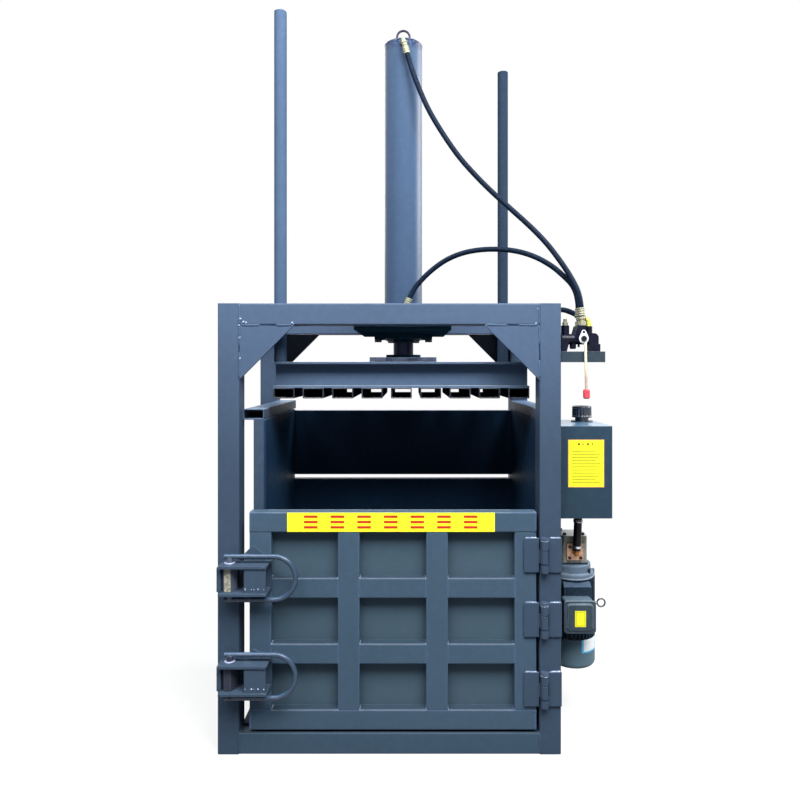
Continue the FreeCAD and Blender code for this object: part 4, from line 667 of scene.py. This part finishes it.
def fieldSheet(across, up, cuts, fields, place):
    # a thin sheet whose faces are cut at the edges of its fields, so each field has its own finish;
    # place turns (across, up, lift) into a point, and a field is (left, right, low, high, finish)
    xs = np.unique(np.concatenate([[0, across], [v for f in fields for v in f[:2]], cuts]))
    zs = np.unique(np.concatenate([[0, up], [v for f in fields for v in f[2:4]]]))
    gridX, gridZ = np.meshgrid(xs, zs)
    front = place(gridX, gridZ, labelThick)
    centreX = (xs[1:] + xs[:-1]) / 2
    centreZ = (zs[1:] + zs[:-1]) / 2
    number = np.zeros((len(centreZ), len(centreX)), int)
    for left, right, low, high, finish in fields:
        inX = (centreX > left) & (centreX < right)
        inZ = (centreZ > low) & (centreZ < high)
        number[np.ix_(inZ, inX)] = finish
    return front, number.ravel(), place(gridX, gridZ, 0.0)


def makeLabel(name, body, settings, fields, finishNames, place, cuts=()):
    front, number, back = fieldSheet(settings["across"], settings["up"], cuts, fields, place)
    rows, columns = front.shape[:2]
    points = np.concatenate([front.reshape(-1, 3), back.reshape(-1, 3)])
    faces = gridFaces(rows, columns).tolist()
    count = rows * columns
    faces += [[a + count for a in reversed(face)] for face in faces]
    grid = np.arange(count).reshape(rows, columns)
    ring = np.concatenate([grid[0], grid[1:, -1], grid[-1, -2::-1], grid[-2:0:-1, 0]]).tolist()
    faces += [[a, a + count, b + count, b] for a, b in zip(ring, ring[1:] + ring[:1])]
    numbers = np.zeros(len(faces), int)
    numbers[:len(number)] = number
    addMesh(name, points, faces, numbers, finishNames, body, joined=False)


def flatPlace(settings):
    # a label on a face that looks to the front
    def place(x, z, lift):
        y = np.full_like(x, frontY + settings["depth"] - lift)
        return np.stack([settings["left"] + x, y, settings["low"] + z], axis=-1)
    return place


def roundPlace(settings):
    # a label wrapped round an upright drum, with angles counted from the front towards the right
    def place(x, z, lift):
        angle = settings["firstAngle"] + x / settings["drumRadius"]
        far = settings["drumRadius"] + lift
        y = frontY + settings["drumDepth"] - far * np.cos(angle)
        return np.stack([settings["drumAcross"] + far * np.sin(angle), y, settings["low"] + z],
                        axis=-1)
    return place


def borderFields(settings):
    # four bars that make a frame just inside a label's edge
    across, up, inset = settings["across"], settings["up"], settings["inset"]
    far = inset + settings["border"]
    right, top = across - inset, up - inset
    return [(inset, right, inset, far, 1), (inset, right, up - far, top, 1),
            (inset, far, inset, top, 1), (across - far, right, inset, top, 1)]


tankLabel = {"left": 0.675, "depth": 0.070, "low": 0.969, "across": 0.137, "up": 0.181,
             "inset": 0.0, "border": 0.0028, "lines": 11, "lineLeft": 0.016,
             "lineEnds": (0.016, 0.034, 0.022),
             "lineLow": 0.017, "linePitch": 0.0118, "lineHigh": 0.0036,
             "marks": (0.008, 0.004, 0.008, 0.004), "markLeft": 0.037, "markPitch": 0.0175,
             "markSpan": (0.160, 0.1675)}


def tankFields(settings):
    # an orange border, lines of three lengths in turn, and four marks above them
    fields = borderFields(settings)
    for line in range(settings["lines"]):
        low = settings["lineLow"] + settings["linePitch"] * line
        end = settings["across"] - settings["lineEnds"][line % 3]
        fields.append((settings["lineLeft"], end, low, low + settings["lineHigh"], 2))
    for number, wide in enumerate(settings["marks"]):
        left = settings["markLeft"] + settings["markPitch"] * number
        fields.append((left, left + wide, *settings["markSpan"], 3))
    return fields


makeLabel("tankLabel", "frame", tankLabel, tankFields(tankLabel),
          ["labelYellow", "labelOrange", "labelOlive", "labelBlack"], flatPlace(tankLabel))

doorStrip = {"left": -0.376, "depth": 0.0, "low": 0.8190, "across": 0.764, "up": 0.0705,
             "groups": 7, "first": 0.062, "pitch": 0.098, "barLong": 0.050,
             "bars": 3, "barLow": 0.012, "barPitch": 0.0195, "barHigh": 0.0090}


def stripFields(settings):
    # groups of level bars, side by side
    fields = []
    for group in range(settings["groups"]):
        left = settings["first"] + group * settings["pitch"]
        for bar in range(settings["bars"]):
            low = settings["barLow"] + bar * settings["barPitch"]
            fields.append((left, left + settings["barLong"], low, low + settings["barHigh"], 1))
    return fields


makeLabel("doorStrip", "door", doorStrip, stripFields(doorStrip),
          ["labelYellow", "labelRed"], flatPlace(doorStrip))

boxLabel = {"left": 0.705, "depth": 0.084, "low": 0.434, "across": 0.042, "up": 0.061,
            "inset": 0.004, "border": 0.0012}
makeLabel("boxLabel", "frame", boxLabel, borderFields(boxLabel),
          ["labelYellow", "labelOlive"], flatPlace(boxLabel))

cowlLabel = {"across": 0.092, "up": 0.052, "low": 0.298, "whiteField": (0.009, 0.083, 0.006, 0.052),
             "drumAcross": 0.734, "drumDepth": 0.250, "drumRadius": 0.092,
             "firstAngle": math.radians(11), "cuts": 13}
makeLabel("cowlLabel", "frame", cowlLabel, [(*cowlLabel["whiteField"], 1)],
          ["labelBlue", "labelWhite"], roundPlace(cowlLabel),
          cuts=np.linspace(0, cowlLabel["across"], cowlLabel["cuts"]))
print("labels made")

weldSettings = {"width": 0.008, "height": 0.0022, "ripple": 0.0045, "section": 7}


def bead(start, end, outward, seed, width=None, height=None):
    # a run of weld: a half-oval section carried along a line, swollen at every ripple and rounded
    # off at both ends, sunk a little into the metal
    settings = weldSettings
    width = width or settings["width"]
    height = height or settings["height"]
    start, end, outward = (np.asarray(v, float) for v in (start, end, outward))
    length = np.linalg.norm(end - start)
    along = (end - start) / length
    outward = outward / np.linalg.norm(outward)
    side = np.cross(along, outward)
    count = max(6, int(length / settings["ripple"] * 3))
    t = np.linspace(0, 1, count)[:, None, None]
    v = np.linspace(0, 2 * math.pi, 2 * settings["section"], endpoint=False)[None, :, None]
    phase = t * length / settings["ripple"] * 2 * math.pi
    drift = 0.10 * np.sin(t * length * 37.0 + seed) + 0.07 * np.sin(t * length * 91.0 + 2 * seed)
    taper = np.sqrt(np.clip(1 - (2 * t - 1) ** (2 * max(2, int(length / width))), 0, 1))
    swell = taper * (1 + drift + 0.16 * np.cos(phase + 0.6 * np.cos(v)))
    middle = start + t * (end - start) + side * (0.0006 * np.sin(t * length * 53.0 + seed))
    return (middle + side * (width / 2 * swell * np.cos(v))
            + outward * (height * swell * np.where(np.sin(v) > 0, np.sin(v), 0.45 * np.sin(v))),
            False, True)


# the frame's sizes that its welds follow
postInner = 0.5525
postSize = 0.080
beamLow = 1.580
frameTop = 1.660
backDepth = 0.740
gussetLong = 0.202
gussetThick = 0.010

# where the weld along the front gussets is left open, as heights and distances from the middle,
# and its bright tacks, as (across, height, size)
gaps = {-1: {"upright": (1.478, 1.506), "level": (0.417, 0.476)},
        1: {"upright": (1.451, 1.512), "level": (0.432, 0.476)}}
tackSettings = {"radius": 0.0040, "high": 0.0030}
tacks = [(-0.549, 1.601, 1.5), (-0.536, 1.590, 1.2), (-0.527, 1.587, 1.3), (-0.552, 1.578, 1.1),
         (-0.551, 1.533, 1.3), (-0.551, 1.457, 1.1), (-0.358, 1.588, 1.0), (-0.353, 1.584, 0.8),
         (0.540, 1.586, 0.9), (0.552, 1.592, 0.7), (0.546, 1.640, 0.6)]
seamStrip = {"width": 0.0044, "height": 0.0006}


def seamGaps(settings):
    # thin dark strips in the open parts of the seams: painted shade in the gaps
    strips = []
    for side, gap in gaps.items():
        upright = [spot(side * postInner, 0.0, z) for z in gap["upright"]]
        level = [spot(side * x, 0.0, beamLow) for x in gap["level"]]
        strips.append(bead(*upright, (0, -1, 0), side, **settings))
        strips.append(bead(*level, (0, -1, 0), side + 5, **settings))
    return strips


def dome(foot, outward, radius, high, around=14):
    # a drop of weld: high * sin(t) up and radius * cos(t) out, with t from 0 to a quarter turn
    t = np.linspace(0, math.pi / 2, 6)
    profile = [(-0.0006, 0.0), *zip(high * np.sin(t), radius * np.cos(t))]
    return turned(foot, outward, profile, around)


def frameTacks(settings):
    return [dome(spot(x, 0.0, z), (0, -1, 0), settings["radius"] * size, settings["high"] * size)
            for x, z, size in tacks]


def frameWelds():
    # beads along the beams' ends and the gussets, at the front and at the back
    runs = []
    forward, backward = (0, -1, 0), (0, 1, 0)
    inset = 0.004  # from each end of a seam to its weld
    for side in (-1, 1):
        x = side * postInner
        for depth, out in ((0.0, forward), (backDepth, backward)):
            for low, high in ((beamLow, frameTop), (0.0, postSize)):
                runs.append((spot(x, depth, low + inset), spot(x, depth, high - inset), out))
        upright, level = gaps[side]["upright"], gaps[side]["level"]
        gussetFoot = beamLow - gussetLong + 0.008
        for low, high in ((gussetFoot, upright[0]), (upright[1], beamLow - 0.006)):
            runs.append((spot(x, 0, low), spot(x, 0, high), forward))
        for near, far in ((postInner - 0.006, level[1]),
                          (level[0], postInner - gussetLong + 0.008)):
            runs.append((spot(side * near, 0, beamLow), spot(side * far, 0, beamLow), forward))
        inner, under = side * (postInner - 0.0005), beamLow - 0.0005
        for depth in (gussetThick, backDepth - postSize + gussetThick):
            for below, above in ((gussetLong - 0.01, 0.12), (0.08, 0.01)):
                runs.append((spot(inner, depth, beamLow - below),
                             spot(inner, depth, beamLow - above), (-side, 1, 0)))
            for near, far in ((0.01, 0.07), (0.11, gussetLong - 0.02)):
                runs.append((spot(side * (postInner - near), depth, under),
                             spot(side * (postInner - far), depth, under), (0, 1, -1)))
    return [bead(*run, seed=number) for number, run in enumerate(runs)]


makePiece("frameWelds", frameWelds(), "frame", "weldPaint")
makePiece("seamGaps", seamGaps(seamStrip), "frame", "gapShade")
makePiece("frameTacks", frameTacks(tackSettings), "frame", "brightWeld")


def ringBead(centre, radius, thick, seed):
    # weld round a drum: a circle of radius thick carried round a circle, swollen at every ripple
    a = np.linspace(0, 2 * math.pi, 360, endpoint=False)[:, None, None]
    b = np.linspace(0, 2 * math.pi, 10, endpoint=False)[None, :, None]
    ripples = 0.20 * np.cos(61 * a + 0.6 * np.cos(b))
    swell = 1 + ripples + 0.14 * np.sin(7 * a + seed) + 0.1 * np.sin(17 * a)
    out = np.concatenate([np.cos(a), np.sin(a), 0 * a], axis=-1)
    far = radius + thick * swell * np.cos(b)
    return centre + out * far + np.array([0, 0, 1.0]) * thick * swell * np.sin(b), True, True


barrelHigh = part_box("cylinder_barrel")[1]
barrelRing = {"centre": (0.048, -0.010), "radius": 0.0782, "thick": 0.0022, "drop": 0.0012,
              "seed": 2.0}
barrelTop = np.array([*barrelRing["centre"], barrelHigh.z - barrelRing["drop"]])
makePiece("barrelWeld", [ringBead(barrelTop, barrelRing["radius"], barrelRing["thick"],
                                  barrelRing["seed"])], "frame", "scaleWeld")

hingeLevels = (0.735, 0.498, 0.243)
hingeHalf = 0.062
hingeSettings = {"depth": -0.002, "postRun": (0.590, 0.6305), "doorRun": (0.500, 0.5445),
                 "sideRun": 0.495, "sideHalf": 0.05, "postBead": (0.007, 0.0026),
                 "doorBead": (0.006, 0.0024), "sideBead": (0.007, 0.0025)}


def hingeWelds(settings):
    # beads above and below each leaf, and one up the free side of the door's leaf
    fixed, turning, sides = [], [], []
    depth, side, reach = settings["depth"], settings["sideRun"], settings["sideHalf"]
    for number, level in enumerate(hingeLevels):
        for end, out in ((level + hingeHalf, (0, -1, 1)), (level - hingeHalf, (0, -1, -1))):
            postRun = [spot(x, depth, end) for x in settings["postRun"]]
            doorRun = [spot(x, depth, end) for x in settings["doorRun"]]
            fixed.append(bead(*postRun, out, number, *settings["postBead"]))
            turning.append(bead(*doorRun, out, number + 3, *settings["doorBead"]))
        sides.append(bead(spot(side, depth, level - reach), spot(side, depth, level + reach),
                          (-1, -1, 0), number + 6, *settings["sideBead"]))
    return fixed, turning, sides


fixedWelds, turningWelds, sideWelds = hingeWelds(hingeSettings)
makePiece("hingePostWelds", fixedWelds, "frame", "brightWeld")
makePiece("hingeDoorWelds", turningWelds, "door", "brightWeld")
makePiece("hingeSideWelds", sideWelds, "door", "weldPaint")

knuckles = {"across": 0.5675, "depth": -0.015, "radius": 0.0145, "around": 40, "sunk": 0.0006,
            "seams": ((-1, 0.0300), (1, -0.0421)), "seamHigh": 0.0031, "seamLift": 0.0003,
            "beadDrop": 0.0080, "beadHigh": 0.0020, "beadLift": 0.0009}


def knuckleBands(settings, places, high, lift):
    # narrow rings round the fixed knuckles, each from its base upwards
    inner, outer = settings["radius"] - settings["sunk"], settings["radius"] + lift
    profile = [(0, inner), (0, outer), (high, outer), (high, inner), (0, inner)]
    return [turned(spot(settings["across"], settings["depth"], place), (0, 0, 1), profile,
                   settings["around"]) for place in places]


# the seam rings are dark strips of painted shade in the gaps between the knuckles; the bead rings
# are bright weld
seamPlaces = [level + side * hingeHalf + drop for level in hingeLevels
              for side, drop in knuckles["seams"]]
beadPlaces = [level + hingeHalf - knuckles["beadDrop"] for level in hingeLevels]
for pieceName, places, part, finishName in (("knuckleSeams", seamPlaces, "seam", "gapShade"),
                                            ("knuckleBeads", beadPlaces, "bead", "brightWeld")):
    bands = knuckleBands(knuckles, places, knuckles[part + "High"], knuckles[part + "Lift"])
    makePiece(pieceName, bands, "frame", finishName)

latchLevels = (0.662, 0.307)
dotSettings = {"radius": 0.0028, "high": 0.0022, "depth": -0.076, "drop": 0.029,
               "across": (-0.511, -0.488, -0.479, -0.465, -0.444)}


def weldDots(settings):
    # small bright drops of weld along the lower edge of both face plates
    drops = []
    for level in latchLevels:
        for number, across in enumerate(settings["across"]):
            size = 1.0 + 0.3 * math.sin(2.4 * number + 40 * level)
            foot = spot(across, settings["depth"],
                        level - settings["drop"] + 0.002 * math.sin(3.1 * number))
            drops.append(dome(foot, (0, -1, 0), settings["radius"] * size, settings["high"] * size))
    return drops


makePiece("latchWeldDots", weldDots(dotSettings), "door", "brightWeld")

washerSettings = {"across": -0.575, "depth": -0.040, "lift": 0.0543, "around": 48, "profile": [
    (0, 0.0118), (0, 0.0190), (0.0006, 0.0196), (0.0034, 0.0196), (0.0040, 0.0190),
    (0.0040, 0.0118)]}


def shaftWashers(settings):
    # flat rings round both cam shafts, on top of the upper cheeks
    across, depth, profile = settings["across"], settings["depth"], settings["profile"]
    return [turned(spot(across, depth, level + settings["lift"]), (0, 0, 1),
                   profile + profile[:1], settings["around"]) for level in latchLevels]


makePiece("shaftWashers", shaftWashers(washerSettings), "door", "washerSteel")
print("welds made")

stageSettings = {"floorHalf": 14.0, "floorDim": (0.12, 0.125, 0.135, 1.0),
                 "shadowReach": 1.3, "shadowEnd": 3.2, "glowLow": 0.74,
                 "skyLevel": 0.14, "skyColour": (0.60, 0.80, 1.0, 1.0), "mirrorLevel": 0.8}


def layFloor(settings):
    half = settings["floorHalf"]
    mesh = bpy.data.meshes.new("floor")
    mesh.from_pydata([(-half, -half, 0), (half, -half, 0), (half, half, 0), (-half, half, 0)],
                     [], [(0, 1, 2, 3)])
    floor = bpy.data.objects.new("floor", mesh)
    bpy.context.collection.objects.link(floor)
    # white to the camera apart from the shadow near the machine, dim for the light that it throws
    # back, and fairly bright in reflections
    finish = Finish("floorWhite")
    path = finish.node("ShaderNodeLightPath")
    camera, mirror = path.outputs["Is Camera Ray"], path.outputs["Is Glossy Ray"]
    tone = finish.blend(camera, settings["floorDim"], (0.9, 0.9, 0.9, 1.0))
    finish.set(colour=tone, rough=0.9, specular=0.1)
    glow = finish.node("ShaderNodeEmission", {"Color": (1, 1, 1, 1), "Strength": 1.0})
    away = finish.vectors("LENGTH", finish.coords)["Value"]
    share = finish.spread(away, settings["shadowReach"], settings["shadowEnd"],
                          settings["glowLow"])
    seen = finish.maths("MULTIPLY_ADD", mirror, settings["mirrorLevel"],
                        finish.product(camera, share))
    mixed = finish.node("ShaderNodeMixShader", {0: seen, 1: finish.shader.outputs[0],
                                                2: glow.outputs[0]})
    output = finish.tree.nodes["Material Output"]
    finish.tree.links.new(mixed.outputs[0], output.inputs["Surface"])
    mesh.materials.append(finish.material)


def lightWorld(settings):
    # a dim sky for the object, brighter in its reflections, and plain white behind it
    world = bpy.data.worlds.new("world")
    bpy.context.scene.world = world
    world.use_nodes = True
    tree = world.node_tree
    tree.nodes.clear()
    path = tree.nodes.new("ShaderNodeLightPath")

    def background(colour, level):
        part = tree.nodes.new("ShaderNodeBackground")
        part.inputs["Color"].default_value = colour
        part.inputs["Strength"].default_value = level
        return part.outputs[0]

    last = background(settings["skyColour"], settings["skyLevel"])
    for ray, level in (("Is Glossy Ray", settings["mirrorLevel"]), ("Is Camera Ray", 1.0)):
        mix = tree.nodes.new("ShaderNodeMixShader")
        tree.links.new(path.outputs[ray], mix.inputs[0])
        tree.links.new(last, mix.inputs[1])
        tree.links.new(background((1, 1, 1, 1), level), mix.inputs[2])
        last = mix.outputs[0]
    output = tree.nodes.new("ShaderNodeOutputWorld")
    tree.links.new(last, output.inputs["Surface"])


lamps = {
    "keyLamp": {"place": (1.6, -2.7, 4.5), "aim": (0.1, -0.3, 1.4), "size": 2.2, "watts": 235},
    "leftLamp": {"place": (-1.6, -2.7, 4.5), "aim": (-0.1, -0.3, 1.4), "size": 2.2, "watts": 150},
    "topLamp": {"place": (0.2, -1.9, 3.6), "aim": (0.0, -0.4, 1.6), "size": 1.8, "watts": 60},
    "rimLamp": {"place": (3.8, 0.9, 3.4), "aim": (0.0, 0.0, 2.2), "size": 2.2, "watts": 190},
    "backLamp": {"place": (-1.2, 4.0, 4.2), "aim": (0.0, 0.0, 1.6), "size": 3.2, "watts": 110},
}


def hangLamps(lamps):
    for name, lamp in lamps.items():
        light = bpy.data.lights.new(name, "AREA")
        light.size = lamp["size"]
        light.energy = lamp["watts"]
        holder = bpy.data.objects.new(name, light)
        holder.location = lamp["place"]
        aim = np.array(lamp["aim"]) - np.array(lamp["place"])
        holder.rotation_mode = "QUATERNION"
        holder.rotation_quaternion = Vector(aim.tolist()).to_track_quat("-Z", "Y")
        holder.visible_camera = False
        bpy.context.collection.objects.link(holder)


layFloor(stageSettings)
lightWorld(stageSettings)
hangLamps(lamps)
bpy.context.scene.view_settings.view_transform = "Standard"
print("stage set")
